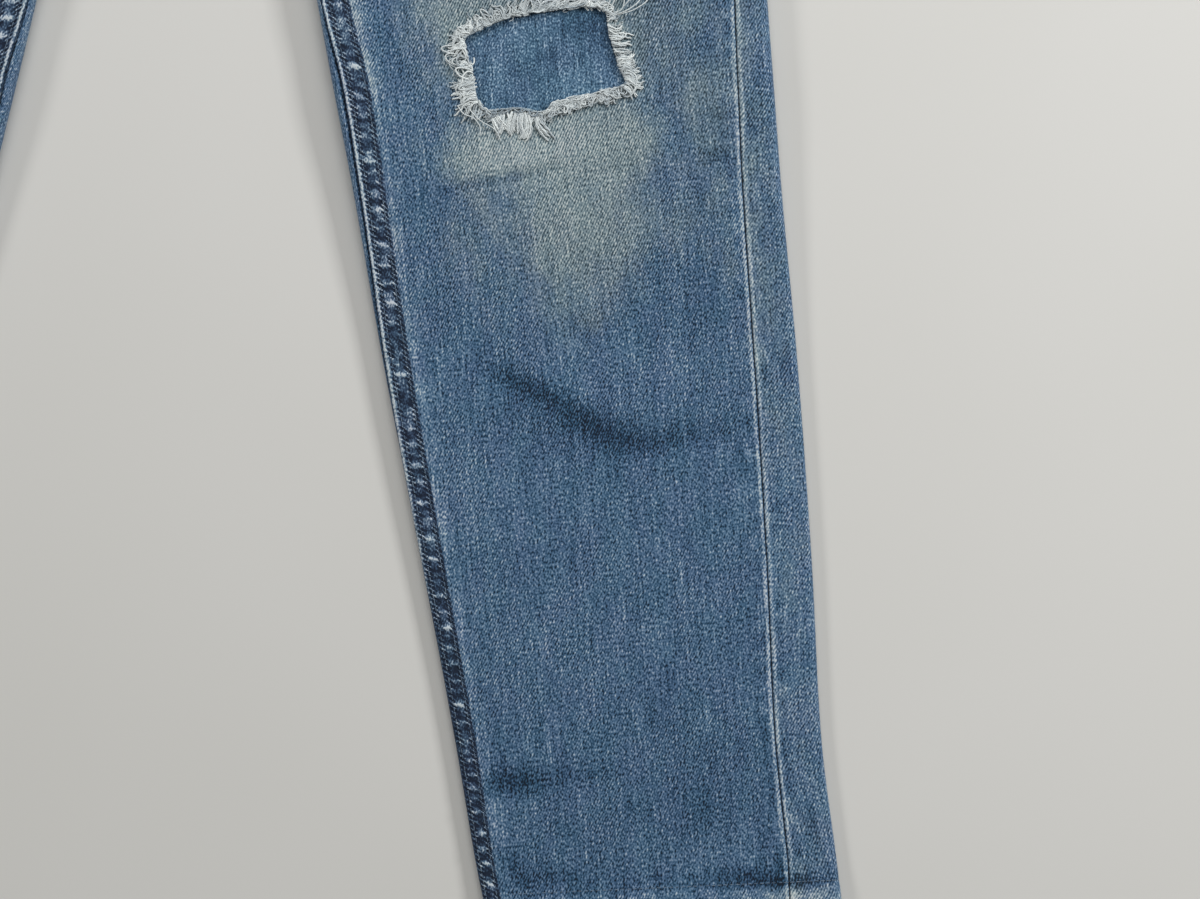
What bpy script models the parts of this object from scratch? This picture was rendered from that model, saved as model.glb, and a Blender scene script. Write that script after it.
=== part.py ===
"""Ripped jeans, laid flat on a table with the front up.

+X points to the wearer's left leg, +Y to the waist and +Z up. The table is the plane Z = 0 and the origin is
the centre of the garment's footprint. Each leg and each half of the seat is a flattened tube of denim: a
section of it is a loop of two flat runs and two folded edges. Every cloth piece is a stretch of those loops.
"""

import math
from collections import namedtuple

import bpy

MM = 0.001

# One layer of washed denim, the space left at each side of a seam, and how pieces that lie on each other clear.
CLOTH = 1.1 * MM
SEAM = 0.15 * MM
CLEAR = 0.3 * MM

# Felled inseam: the width and the height of its raised band.
FELL_WIDTH = 11 * MM
FELL_RAISE = 0.7 * MM

# Fly: the left front laps over the right one, down to this section.
FLY_LAP = 4 * MM
FLY_RAISE = CLOTH + CLEAR
FLY_END = "hip"

# Waistband: a folded strip with its seam allowances inside, and the lap of its two ends.
BAND_THICK = 2.2 * MM
BAND_PROUD = 0.5 * MM
BAND_UNDERLAP = 26 * MM
BAND_RAISE = 1.5 * MM
BAND_SINK = 1.0 * MM
BAND_LAP_RAMP = (40 * MM, 62 * MM)

# Front pocket scoop and the facing that shows in it.
SCOOP_ACROSS = 72 * MM
SCOOP_DOWN = 80 * MM
SCOOP_STEPS = 40
CUTTER_HEIGHT = 20 * MM
FACING_WIDTH = 90 * MM
FACING_ROW = 3.15

# Back pocket: top width, bottom width, side length, depth of the point, and where the pocket's top centre is.
POCKET_TOP = 142 * MM
POCKET_FOOT = 120 * MM
POCKET_SIDE = 128 * MM
POCKET_POINT = 20 * MM
POCKET_ACROSS = 112 * MM
POCKET_DOWN = -152 * MM
POCKET_TILT = math.radians(2.5)
POCKET_THICK = 1.2 * MM

# Belt loops: width, thickness, reach above the waistband and below its seam, and their places.
LOOP_WIDTH = 11 * MM
LOOP_THICK = 1.6 * MM
LOOP_ABOVE = 2 * MM
LOOP_BELOW = 9 * MM
LOOP_ACROSS = 106 * MM
LOOP_DROP = 0.4 * MM

# Shank button, and its profile from the crown's centre down, in radii and heights.
BUTTON_RADIUS = 8.5 * MM
BUTTON_HEIGHT = 3.2 * MM
BUTTON_ACROSS = 14 * MM
BUTTON_SIDES = 24
BUTTON_PROFILE = ((0, 0.9), (0.55, 0.9), (0.7, 1.0), (0.9, 0.85), (1.0, 0.45), (0.85, 0), (0, 0))

# Zip behind the fly.
ZIP_WIDTH = 24 * MM
ZIP_THICK = 1.0 * MM

# Hem: the allowance turned up twice inside each leg.
HEM_DEPTH = 20 * MM
HEM_THICK = 1.4 * MM
HEM_INSET = CLOTH + 0.5 * MM

# Rip over the left knee, the patch behind it and the frayed yarns round it.
RIP_CENTRE = (177 * MM, 321.5 * MM)
RIP_WIDTH = 69 * MM
RIP_LENGTH = 41 * MM
RIP_LEAN = math.radians(12.8)
RIP_SLANT = math.radians(6)
RIP_CORNER = 5 * MM
PATCH_MARGIN = 20 * MM
# The patch is flat and the leg falls off below the knee, so the patch lies this much lower.
PATCH_SINK = 0.9 * MM
FRAY_GAP = 1 * MM
FRAY_REACH = 12 * MM
FRAY_THICK = 1.2 * MM

# Sections from the waist to the hem, in millimetres. The downs are distances below the crotch point, of the
# section's inner end on the front, of its inner end on the back, and of its outer end. inner and outer are the
# distances of those ends from the centre line. inseam and outseam are measured round the cloth from the inner
# and the outer folded edge. height is the tube's, lift is the gap under it and fold the inner fold's depth.
# bow is 1 for a straight section and 2 for one that dips like a waistline.
Section = namedtuple("Section", "front back side inner outer inseam outseam height lift fold bow")
SECTIONS = {
    "waist top": Section(-235, -283, -253, 0, 190, 0, 8, 5.6, 2.4, 0, 2),
    "waist seam": Section(-197, -245, -215, 0, 195, 0, 8, 5.6, 2.4, 0, 2),
    "yoke seam": Section(-162, -172, -178, 0, 209, 0, 9, 5.6, 1.9, 0, 2),
    "pocket": Section(-118, -124, -128, 0, 227, 0, 10, 5.6, 1.6, 0, 2),
    "hip": Section(-74, -78, -80, 0, 239, 0, 11, 5.6, 1.6, 0, 1.6),
    "fork": Section(-30, -31, -32, 0, 248, 0, 12, 5.6, 1.6, 0, 1.2),
    "crotch": Section(0, 0, 0, 0.15, 254, 1.2, 12, 5.6, 1.4, 0.6, 1),
    "under crotch": Section(14, 14, 13, 5.5, 256, 6.0, 12.5, 5.6, 1.2, 2.6, 1),
    "thigh": Section(100, 100, 98, 27, 266, 8.0, 13.3, 7.0, 0, 2.8, 1),
    "low thigh": Section(200, 200, 198, 47, 274.5, 7.6, 15.2, 9.5, 0, 2.8, 1),
    "knee": Section(296, 296, 292, 67.1, 283.2, 7.9, 19.5, 12, 0, 2.8, 1),
    "rip": Section(338, 338, 334, 76.0, 287.4, 9.4, 21.0, 12, 0, 2.8, 1),
    "under knee": Section(380, 380, 375, 85.2, 291.5, 7.5, 21.75, 10.5, 0, 2.8, 1),
    "calf": Section(470, 470, 464, 103.3, 302, 2.85, 22.65, 6.4, 0, 2.8, 1),
    "low calf": Section(570, 570, 562, 125.35, 311.5, 1.0, 23.4, 5.8, 0, 2.8, 1),
    "shin": Section(650, 650, 641, 142.3, 317.7, 1.0, 23.8, 5.6, 0, 2.8, 1),
    "ankle": Section(712, 712, 701, 154.5, 326.6, 0.95, 25.0, 5.6, 0, 2.8, 1),
    "hem top": Section(727, 727, 715, 158.1, 328.8, 0.8, 26.5, 6.7, 0, 3.3, 1),
    "hem": Section(742, 742, 730, 161.3, 330, 0.8, 27, 7.0, 0, 3.5, 1),
}
ROWS = [Section(*(number * (1 if field == "bow" else MM) for field, number in zip(Section._fields, row)))
        for row in SECTIONS.values()]
ROW_OF = {name: index for index, name in enumerate(SECTIONS)}
LAST = len(ROWS) - 1
CROTCH_FOLD = ROWS[ROW_OF["crotch"]].fold
MID_DOWN = (ROWS[0].back - LOOP_ABOVE + ROWS[LAST].front) / 2

DENIM = ("denim", (0.055, 0.105, 0.175), 0.9, 0.0)
DARK_DENIM = ("dark denim", (0.040, 0.085, 0.160), 0.9, 0.0)
FRAYED_COTTON = ("frayed cotton", (0.55, 0.58, 0.55), 0.95, 0.0)
AGED_METAL = ("aged metal", (0.35, 0.30, 0.24), 0.45, 1.0)


def smooth(low, high, value):
    """0 below low, 1 above high, and an even ease between them."""
    share = min(1.0, max(0.0, (value - low) / (high - low)))
    return share * share * (3 - 2 * share)


def slope_at(values, places, index):
    """The slope of a curve through the rows that never overshoots them."""
    if index in (0, len(values) - 1):
        step = (index, index + 1) if index == 0 else (index - 1, index)
        return (values[step[1]] - values[step[0]]) / (places[step[1]] - places[step[0]])
    before = (values[index] - values[index - 1]) / (places[index] - places[index - 1])
    after = (values[index + 1] - values[index]) / (places[index + 1] - places[index])
    if before * after <= 0:
        return 0.0
    return 2 * before * after / (before + after)


SIDE_DOWNS = [row.side for row in ROWS]
SLOPES = [[slope_at([row[field] for row in ROWS], SIDE_DOWNS, index) for field in range(len(Section._fields))]
          for index in range(len(ROWS))]


def section_at(place):
    """The section at a place in the table, where 2.5 is halfway between rows 2 and 3."""
    index = min(int(place), LAST - 1)
    share = place - index
    span = SIDE_DOWNS[index + 1] - SIDE_DOWNS[index]
    ease = share * share * (3 - 2 * share)
    lead, trail = share * (1 - share) ** 2 * span, -share * share * (1 - share) * span
    return Section(*(
        start + (end - start) * ease + lead * SLOPES[index][field] + trail * SLOPES[index + 1][field]
        for field, (start, end) in enumerate(zip(ROWS[index], ROWS[index + 1]))
    ))


def quarter(across, rise):
    """The length of a quarter of an oval."""
    return math.pi / 2 * math.sqrt((across * across + rise * rise) / 2)


def inner_turn(section):
    """The length of the inner fold, which grows from nothing between the fork and the crotch."""
    return quarter(section.fold, section.height / 2) * smooth(0, CROTCH_FOLD, section.fold)


def half_loop(section):
    """The length round the cloth from the inner folded edge, over the front, to the outer one."""
    rise = section.height / 2
    return inner_turn(section) + section.outer - section.inner - section.fold - rise + quarter(rise, rise)


def cloth_point(place, round_it, side, inset=0.0):
    """A point of the tube's surface, moved inset into it.

    round_it is the distance round the cloth from the inner folded edge over the front, past the outer edge at
    half_loop and back along the underside. side is 1 for the wearer's left and -1 for the right."""
    section = section_at(place)
    rise = section.height / 2
    half = half_loop(section)
    on_front = round_it <= half or round_it > 2 * half
    along = round_it - 2 * half if round_it > 2 * half else min(round_it, 2 * half - round_it)
    inner_fold = inner_turn(section)
    outer_fold = quarter(rise, rise)
    if 0 < inner_fold and along < inner_fold:
        turn = along / inner_fold * math.pi / 2
        across = section.inner + section.fold - (section.fold - inset) * math.cos(turn)
        up = (rise - inset) * math.sin(turn)
    elif along > half - outer_fold:
        turn = (half - along) / outer_fold * math.pi / 2
        across = section.outer - rise + (rise - inset) * math.cos(turn)
        up = (rise - inset) * math.sin(turn)
    else:
        across = section.inner + section.fold + along - inner_fold
        up = rise - inset
    share = min(1.0, abs(across - section.inner) / (section.outer - section.inner))
    end = section.front if on_front else section.back
    down = end + (section.side - end) * share ** section.bow
    height = section.lift + rise + (up if on_front else -up)
    return [side * across, MID_DOWN - down, height]


def make_material(name, colour, roughness, metallic):
    """The named material, made once."""
    if name in bpy.data.materials:
        return bpy.data.materials[name]
    material = bpy.data.materials.new(name)
    material.use_nodes = True
    shader = material.node_tree.nodes["Principled BSDF"]
    shader.inputs["Base Color"].default_value = (*colour, 1)
    shader.inputs["Roughness"].default_value = roughness
    shader.inputs["Metallic"].default_value = metallic
    return material


def make_object(name, points, faces, finish, collection, edges=()):
    """A mesh object of these points and faces."""
    mesh = bpy.data.meshes.new(name)
    mesh.from_pydata(points, edges, faces)
    mesh.materials.append(make_material(*finish))
    made = bpy.data.objects.new(name, mesh)
    collection.objects.link(made)
    return made


def thicken(target, thickness):
    """Gives an open surface its thickness, behind its faces."""
    modifier = target.modifiers.new("cloth", "SOLIDIFY")
    modifier.thickness = thickness
    modifier.offset = -1
    modifier.use_even_offset = True
    return target


def sheet(name, rows, thickness, collection, side=1, finish=DENIM, missing=(), closed=False):
    """A wall of cloth whose outer surface goes through rows of points, without the cells that are missing.

    The rows follow each other down the garment. The points of a row go round the cloth, which is
    anticlockwise on the wearer's left. closed joins the last point of each row to its first."""
    count = len(rows[0])
    faces = []
    for row in range(len(rows) - 1):
        for column in range(count if closed else count - 1):
            if (row, column) in missing:
                continue
            beside = (column + 1) % count
            ring = [row * count + column, row * count + beside, (row + 1) * count + beside,
                    (row + 1) * count + column]
            faces.append(ring[::-side])
    used = sorted({corner for face in faces for corner in face})
    number = {corner: index for index, corner in enumerate(used)}
    points = [point for row in rows for point in row]
    made = make_object(name, [points[corner] for corner in used],
                       [[number[corner] for corner in face] for face in faces], finish, collection)
    return thicken(made, thickness)


def flat_piece(name, outline, bottom, thickness, collection, finish=DENIM):
    """A flat piece cut to an outline that runs anticlockwise in plan."""
    points = [[x, y, bottom + thickness] for x, y in outline]
    return thicken(make_object(name, points, [list(range(len(points)))], finish, collection), thickness)


def trimmed(rows, start=SEAM, end=SEAM):
    """The rows with the first and the last drawn in by half of a seam's gap."""
    def drawn(row, beside, gap):
        return [[a + (b - a) * gap / math.dist(point, other) for a, b in zip(point, other)]
                for point, other in zip(row, beside)]
    return [drawn(rows[0], rows[1], start)] + rows[1:-1] + [drawn(rows[-1], rows[-2], end)]


def places_between(start, end, step):
    """Places in the table from start to end, at most step apart."""
    count = math.ceil((end - start) / step)
    return [start + (end - start) * index / count for index in range(count + 1)]


def spread(start, end, count):
    """count numbers from start to end, both included."""
    return [start + (end - start) * index / (count - 1) for index in range(count)]


def front_columns(place, laps):
    """Distances round the cloth for the front's columns, and how far each is raised."""
    section = section_at(place)
    on_leg = smooth(ROW_OF["crotch"] - 0.08, ROW_OF["crotch"], place)
    seam = section.inseam
    if laps:
        end = ROW_OF[FLY_END]
        over, high = 1 - smooth(end - 0.5, end, place), 1 - smooth(end, end + 0.5, place)
    else:
        over = high = 0.0
    edge = seam + SEAM - (FLY_LAP + SEAM) * over
    near = [edge, seam + 2 * MM, seam + 4 * MM, seam + FELL_WIDTH - MM, seam + FELL_WIDTH + 3 * MM]
    raised = max(FELL_RAISE * on_leg, FLY_RAISE * high)
    far = spread(near[-1], half_loop(section) - section.outseam - SEAM, 8)[1:]
    return [(at, raised if index < 4 else 0.0) for index, at in enumerate(near + far)]


def make_front(name, side, collection):
    """A front: from the waist seam to the hem, and from the fly or the inseam to the outseam."""
    crotch = ROW_OF["crotch"]
    places = places_between(1, crotch - 0.08, 0.5) + places_between(crotch, LAST, 0.5)
    rows = []
    for place in places:
        row = []
        for round_it, raised in front_columns(place, laps=side > 0):
            x, y, z = cloth_point(place, round_it, side)
            row.append([x, y, z + raised])
        rows.append(row)
    return sheet(name, trimmed(rows, end=0), CLOTH, collection, side)


# The back's columns round the inner fold, the first of them at the seat seam.
INSEAM_COLUMNS = 6


def back_columns(place):
    """Distances round the cloth from the outseam, over the outer fold and the underside, to the inseam."""
    section = section_at(place)
    half = half_loop(section)
    fold = quarter(section.height / 2, section.height / 2)
    inner_fold = max(SEAM, inner_turn(section))
    strip = [half - section.outseam + SEAM, half - fold, half - fold / 2, half, half + fold / 2]
    under = spread(half + fold, 2 * half - inner_fold, 8)
    inseam = spread(2 * half - inner_fold, 2 * half + section.inseam - SEAM, INSEAM_COLUMNS)[1:]
    return strip + under + inseam


def make_back(name, side, start, end, collection):
    """A back or a yoke. Above the crotch it stops at the seat seam; below it wraps round to the inseam."""
    crotch = ROW_OF["crotch"]
    places = places_between(start, min(end, crotch - 0.08), 0.5)
    if end > crotch:
        places += places_between(crotch, end, 0.5)
    rows = [[cloth_point(place, at, side) for at in back_columns(place)] for place in places]
    seat_seam = len(rows[0]) - INSEAM_COLUMNS
    missing = {(row, column) for row, place in enumerate(places[:-1]) if place < crotch
               for column in range(seat_seam, len(rows[0]) - 1)}
    return sheet(name, trimmed(rows, end=SEAM if end < LAST else 0), CLOTH, collection, side, missing=missing)


def make_hem(name, side, collection):
    """The hem's turned-up allowance: a closed ring inside the leg's end."""
    rows = []
    depth_places = HEM_DEPTH / (ROWS[LAST].front - ROWS[LAST - 1].front)
    for place in (LAST - depth_places, LAST - depth_places / 2, LAST - 0.02):
        section = section_at(place)
        half = half_loop(section)
        fold = quarter(section.height / 2, section.height / 2)
        over = spread(fold, half - fold, 7)
        turn = [half - fold / 2, half, half + fold / 2]
        under = [2 * half - at for at in reversed(over)]
        rows.append((place, over + turn + under + [2 * half - fold / 2, 0.0, fold / 2]))
    grid = [[cloth_point(place, at, side, HEM_INSET) for at in columns] for place, columns in rows]
    return sheet(name, grid, HEM_THICK, collection, side, closed=True)


def make_facing(name, side, collection):
    """The denim facing behind a front pocket's scoop, sewn in at the waist and at the outseam."""
    rows = []
    for place in places_between(1, FACING_ROW, 0.5):
        section = section_at(place)
        end = half_loop(section) - section.outseam - SEAM
        rows.append([cloth_point(place, at, side, CLOTH + CLEAR) for at in spread(end - FACING_WIDTH, end, 5)])
    return sheet(name, trimmed(rows, end=0), CLOTH, collection, side, DARK_DENIM)


def make_zip(collection):
    """The closed zip behind the fly, tapes and all."""
    rows = [[cloth_point(place, at, 1, CLOTH + CLEAR) for at in (-ZIP_WIDTH / 2, 0, ZIP_WIDTH / 2)]
            for place in places_between(1, ROW_OF[FLY_END], 0.5)]
    return sheet("zip", trimmed(rows), ZIP_THICK, collection, finish=DARK_DENIM)


def make_waistband(collection):
    """One strip from the button end, round the wearer's right side, the back and the left side to the
    buttonhole end, which laps over."""
    def columns(place, side):
        section = section_at(place)
        half = half_loop(section)
        fold = quarter(section.height / 2, section.height / 2)
        start = -FLY_LAP if side > 0 else -BAND_UNDERLAP
        over = spread(start, half - fold, 12)
        under = spread(half + fold, 2 * half, 10)
        return over + [half - fold / 2, half, half + fold / 2] + under

    rows = []
    for place in (0, 0.5, 1):
        halves = []
        for side, moved in ((-1, -BAND_SINK), (1, BAND_RAISE)):
            half_row = []
            for at in columns(place, side):
                x, y, z = cloth_point(place, at, side, -BAND_PROUD)
                half_row.append([x, y, z + moved * (1 - smooth(*BAND_LAP_RAMP, at))])
            halves.append(half_row)
        rows.append(halves[0] + halves[1][-2::-1])
    return sheet("waistband", trimmed(rows, start=0, end=2 * SEAM), BAND_THICK, collection, side=-1)


def make_belt_loop(name, across, on_front, collection):
    """A strip that crosses the waistband, tacked above it and below it."""
    side, up = (-1 if across < 0 else 1), (1 if on_front else -1)
    rows = []
    for place, reach, drop in ((0, -LOOP_ABOVE, 0.0), (0.2, 0, 0.0), (0.8, 0, 0.0), (1, LOOP_BELOW, LOOP_DROP)):
        at = abs(across) if on_front else 2 * half_loop(section_at(place)) - abs(across)
        x, y, z = cloth_point(place, at, side, -BAND_PROUD - CLEAR - LOOP_THICK + drop)
        rows.append([[x - up * LOOP_WIDTH / 2, y - reach, z], [x + up * LOOP_WIDTH / 2, y - reach, z]])
    return sheet(name, rows, LOOP_THICK, collection)


def make_back_pocket(name, side, collection):
    """A five-sided patch pocket on the underside of the seat."""
    corners = [(-POCKET_TOP / 2, 0), (POCKET_TOP / 2, 0), (POCKET_FOOT / 2, POCKET_SIDE),
               (0, POCKET_SIDE + POCKET_POINT), (-POCKET_FOOT / 2, POCKET_SIDE)]
    turn_x, turn_y = math.cos(POCKET_TILT), math.sin(POCKET_TILT)
    outline = [(side * (POCKET_ACROSS + x * turn_x + y * turn_y), MID_DOWN - POCKET_DOWN - y * turn_x + x * turn_y)
               for x, y in corners]
    return flat_piece(name, outline[::-side], 0.0, POCKET_THICK, collection)


def rip_outline(reach, corner, corner_steps=4):
    """The rip's outline in plan, a leaning four-sided shape with round corners, grown by reach."""
    half_width, half_length = RIP_WIDTH / 2 + reach, RIP_LENGTH / 2 + reach
    outline = []
    for index, (sign_x, sign_y) in enumerate(((1, 1), (-1, 1), (-1, -1), (1, -1))):
        for step in range(corner_steps):
            turn = math.pi / 2 * (index + step / (corner_steps - 1))
            x = sign_x * (half_width - corner) + corner * math.cos(turn)
            y = sign_y * (half_length - corner) + corner * math.sin(turn)
            x -= y * math.tan(RIP_SLANT)
            outline.append((RIP_CENTRE[0] + x * math.cos(RIP_LEAN) - y * math.sin(RIP_LEAN),
                            MID_DOWN - RIP_CENTRE[1] + x * math.sin(RIP_LEAN) + y * math.cos(RIP_LEAN)))
    return outline


def make_fray(name, top, collection):
    """The reach of the frayed yarns: a flat ring that lies on the front, round the rip."""
    height = top + CLEAR + FRAY_THICK
    rings = rip_outline(FRAY_GAP, RIP_CORNER), rip_outline(FRAY_REACH, RIP_CORNER + FRAY_REACH)
    rows = [[[x, y, height] for x, y in ring] for ring in rings]
    return sheet(name, rows, FRAY_THICK, collection, finish=FRAYED_COTTON, closed=True)


def make_button(bottom, collection):
    """A turned shank button over the waistband's lapped ends."""
    profile = [(radius * BUTTON_RADIUS, 0, height * BUTTON_HEIGHT) for radius, height in BUTTON_PROFILE]
    edges = [(index, index + 1) for index in range(len(profile) - 1)]
    button = make_object("button", profile, [], AGED_METAL, collection, edges)
    turned = button.modifiers.new("turned", "SCREW")
    turned.steps = turned.render_steps = BUTTON_SIDES
    turned.use_merge_vertices = True
    turned.merge_threshold = 0.00001
    button.location = (BUTTON_ACROSS, MID_DOWN - (ROWS[0].front + ROWS[1].front) / 2, bottom)
    return button


def cut(target, cutter):
    """Takes the cutter's shape out of the target."""
    cutter.hide_render = True
    cutter.display_type = "WIRE"
    modifier = target.modifiers.new(cutter.name, "BOOLEAN")
    modifier.operation = "DIFFERENCE"
    modifier.object = cutter


def scoop_outline(side):
    """The front pocket's curved opening: an oval centred where the waist seam meets the outseam."""
    section = ROWS[ROW_OF["waist seam"]]
    centre_x, centre_down = section.outer - section.outseam, section.side
    turns = [2 * math.pi * step / SCOOP_STEPS for step in range(SCOOP_STEPS)]
    return [(side * centre_x + SCOOP_ACROSS * math.cos(turn), MID_DOWN - centre_down + SCOOP_DOWN * math.sin(turn))
            for turn in turns]


def build():
    for old in list(bpy.data.objects):
        bpy.data.objects.remove(old)
    jeans = bpy.data.collections.new("jeans")
    cutters = bpy.data.collections.new("cutters")
    for collection in (jeans, cutters):
        bpy.context.scene.collection.children.link(collection)

    yoke, waist = ROW_OF["yoke seam"], ROW_OF["waist seam"]
    for name, side in (("left", 1), ("right", -1)):
        front = make_front(f"front_{name}", side, jeans)
        cut(front, flat_piece(f"scoop_cutter_{name}", scoop_outline(side), 0.0, CUTTER_HEIGHT, cutters))
        if side > 0:
            cut(front, flat_piece("rip_cutter", rip_outline(0.0, RIP_CORNER), 0.0, CUTTER_HEIGHT, cutters))
        make_facing(f"pocket_facing_{name}", side, jeans)
        make_back(f"yoke_{name}", side, waist, yoke, jeans)
        make_back(f"back_{name}", side, yoke, LAST, jeans)
        make_back_pocket(f"back_pocket_{name}", side, jeans)
        make_hem(f"hem_{name}", side, jeans)
        make_belt_loop(f"belt_loop_front_{name}", side * LOOP_ACROSS, True, jeans)
        make_belt_loop(f"belt_loop_back_{name}", side * LOOP_ACROSS, False, jeans)
    make_belt_loop("belt_loop_back_centre", 0.0, False, jeans)
    make_waistband(jeans)
    make_zip(jeans)
    knee = section_at(ROW_OF["knee"])
    knee_top = knee.lift + knee.height
    patch_bottom = knee_top - 2 * CLOTH - CLEAR - PATCH_SINK
    flat_piece("knee_patch", rip_outline(PATCH_MARGIN, RIP_CORNER), patch_bottom, CLOTH, jeans, DARK_DENIM)
    make_fray("knee_fray", knee_top, jeans)
    make_button(ROWS[0].lift + ROWS[0].height + BAND_PROUD + BAND_RAISE + CLEAR, jeans)


build()
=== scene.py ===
"""Ripped jeans, laid flat with the front up: fine cloth, seams, stitches, frayed yarns, light and camera.

+X points to the wearer's left leg, +Y to the waist and +Z up. Sizes are in metres unless a name says mm.
"""
import math
from collections import namedtuple

import bpy
import numpy as np
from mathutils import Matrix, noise


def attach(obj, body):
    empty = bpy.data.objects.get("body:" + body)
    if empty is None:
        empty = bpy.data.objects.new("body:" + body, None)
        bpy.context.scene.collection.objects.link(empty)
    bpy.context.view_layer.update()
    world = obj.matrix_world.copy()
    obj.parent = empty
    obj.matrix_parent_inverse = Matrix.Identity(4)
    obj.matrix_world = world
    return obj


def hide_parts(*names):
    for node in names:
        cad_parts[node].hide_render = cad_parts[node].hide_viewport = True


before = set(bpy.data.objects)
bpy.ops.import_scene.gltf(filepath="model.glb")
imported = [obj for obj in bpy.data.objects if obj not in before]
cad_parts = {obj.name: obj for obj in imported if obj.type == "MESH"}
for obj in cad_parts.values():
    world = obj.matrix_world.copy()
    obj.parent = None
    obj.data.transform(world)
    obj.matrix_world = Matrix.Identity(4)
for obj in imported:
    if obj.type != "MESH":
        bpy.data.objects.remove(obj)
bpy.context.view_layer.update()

MM = 0.001
RANDOM = np.random.default_rng(11)

# The thickness of a layer of cloth, and what is left open between two edges that are sewn together.
CLOTH = 0.95 * MM
FELL_THICK, HEM_THICK, POCKET_THICK = 0.35 * MM, 0.9 * MM, 1.15 * MM
SEAM = 0.05 * MM

# Sections of one half from the waist to the hem, in millimetres. front, back and side are distances below the
# crotch: of the section's inner end on the front and on the back, and of its outer end. inner and outer are
# the distances of those ends from the centre line. inseam and outseam are measured round the cloth from the
# two folded edges. height is the tube's, lift the gap under it, fold the inner fold's depth, and bow how the
# section curves down to its side.
Section = namedtuple("Section", "front back side inner outer inseam outseam height lift fold bow")
SECTIONS = {
    "waist top": Section(-235, -283, -253, 0, 190, 0, 8, 5.6, 2.4, 0, 2),
    "waist seam": Section(-197, -245, -215, 0, 195, 0, 8, 5.6, 2.4, 0, 2),
    "yoke seam": Section(-162, -172, -178, 0, 209, 0, 9, 5.6, 1.9, 0, 2),
    "pocket": Section(-118, -124, -128, 0, 227, 0, 10, 5.6, 1.6, 0, 2),
    "hip": Section(-74, -78, -80, 0, 239, 0, 11, 5.6, 1.6, 0, 1.6),
    "fork": Section(-30, -31, -32, 0, 248, 0, 12, 5.6, 1.6, 0, 1.2),
    "crotch": Section(0, 0, 0, 0.15, 254, 1.2, 12, 5.6, 1.4, 0.6, 1),
    "under crotch": Section(14, 14, 13, 5.5, 256, 6.0, 12.5, 5.6, 1.2, 2.6, 1),
    "thigh": Section(100, 100, 98, 27, 266, 8.0, 13.3, 7.0, 0, 2.8, 1),
    "low thigh": Section(200, 200, 198, 47, 274.5, 7.6, 15.2, 9.5, 0, 2.8, 1),
    "knee": Section(296, 296, 292, 67.1, 283.2, 6.8, 19.5, 12, 0, 2.8, 1),
    "rip": Section(338, 338, 334, 76.0, 287.4, 9.4, 21.0, 12, 0, 2.8, 1),
    "under knee": Section(380, 380, 375, 85.2, 291.5, 7.5, 21.75, 10.5, 0, 2.8, 1),
    "calf": Section(470, 470, 464, 103.3, 302, 2.85, 22.65, 6.4, 0, 2.8, 1),
    "low calf": Section(570, 570, 562, 125.35, 311.5, 1.0, 23.4, 5.8, 0, 2.8, 1),
    "shin": Section(650, 650, 641, 142.3, 317.7, 1.0, 23.8, 5.6, 0, 2.8, 1),
    "ankle": Section(712, 712, 701, 154.5, 326.6, 0.95, 25.0, 5.6, 0, 2.8, 1),
    "hem top": Section(727, 727, 715, 158.1, 328.8, 0.8, 26.5, 6.7, 0, 3.3, 1),
    "hem": Section(742, 742, 730, 161.3, 330, 0.8, 27, 7.0, 0, 3.5, 1),
}
ROWS = [Section(*(number * (1 if field == "bow" else MM) for field, number in zip(Section._fields, row)))
        for row in SECTIONS.values()]
ROW_OF = {name: index for index, name in enumerate(SECTIONS)}
LAST = len(ROWS) - 1
CROTCH_FOLD = ROWS[ROW_OF["crotch"]].fold
# Where the legs part: the seat seam ends this little above the crotch.
SEAT_END = ROW_OF["crotch"] - 0.08
MID_DOWN = (ROWS[0].back - 2 * MM + ROWS[LAST].front) / 2
SIDE_DOWNS = [row.side for row in ROWS]

# The warp runs along the outseam, a little off the garment's own axis.
GRAIN_TURN = math.atan(0.104)

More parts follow.
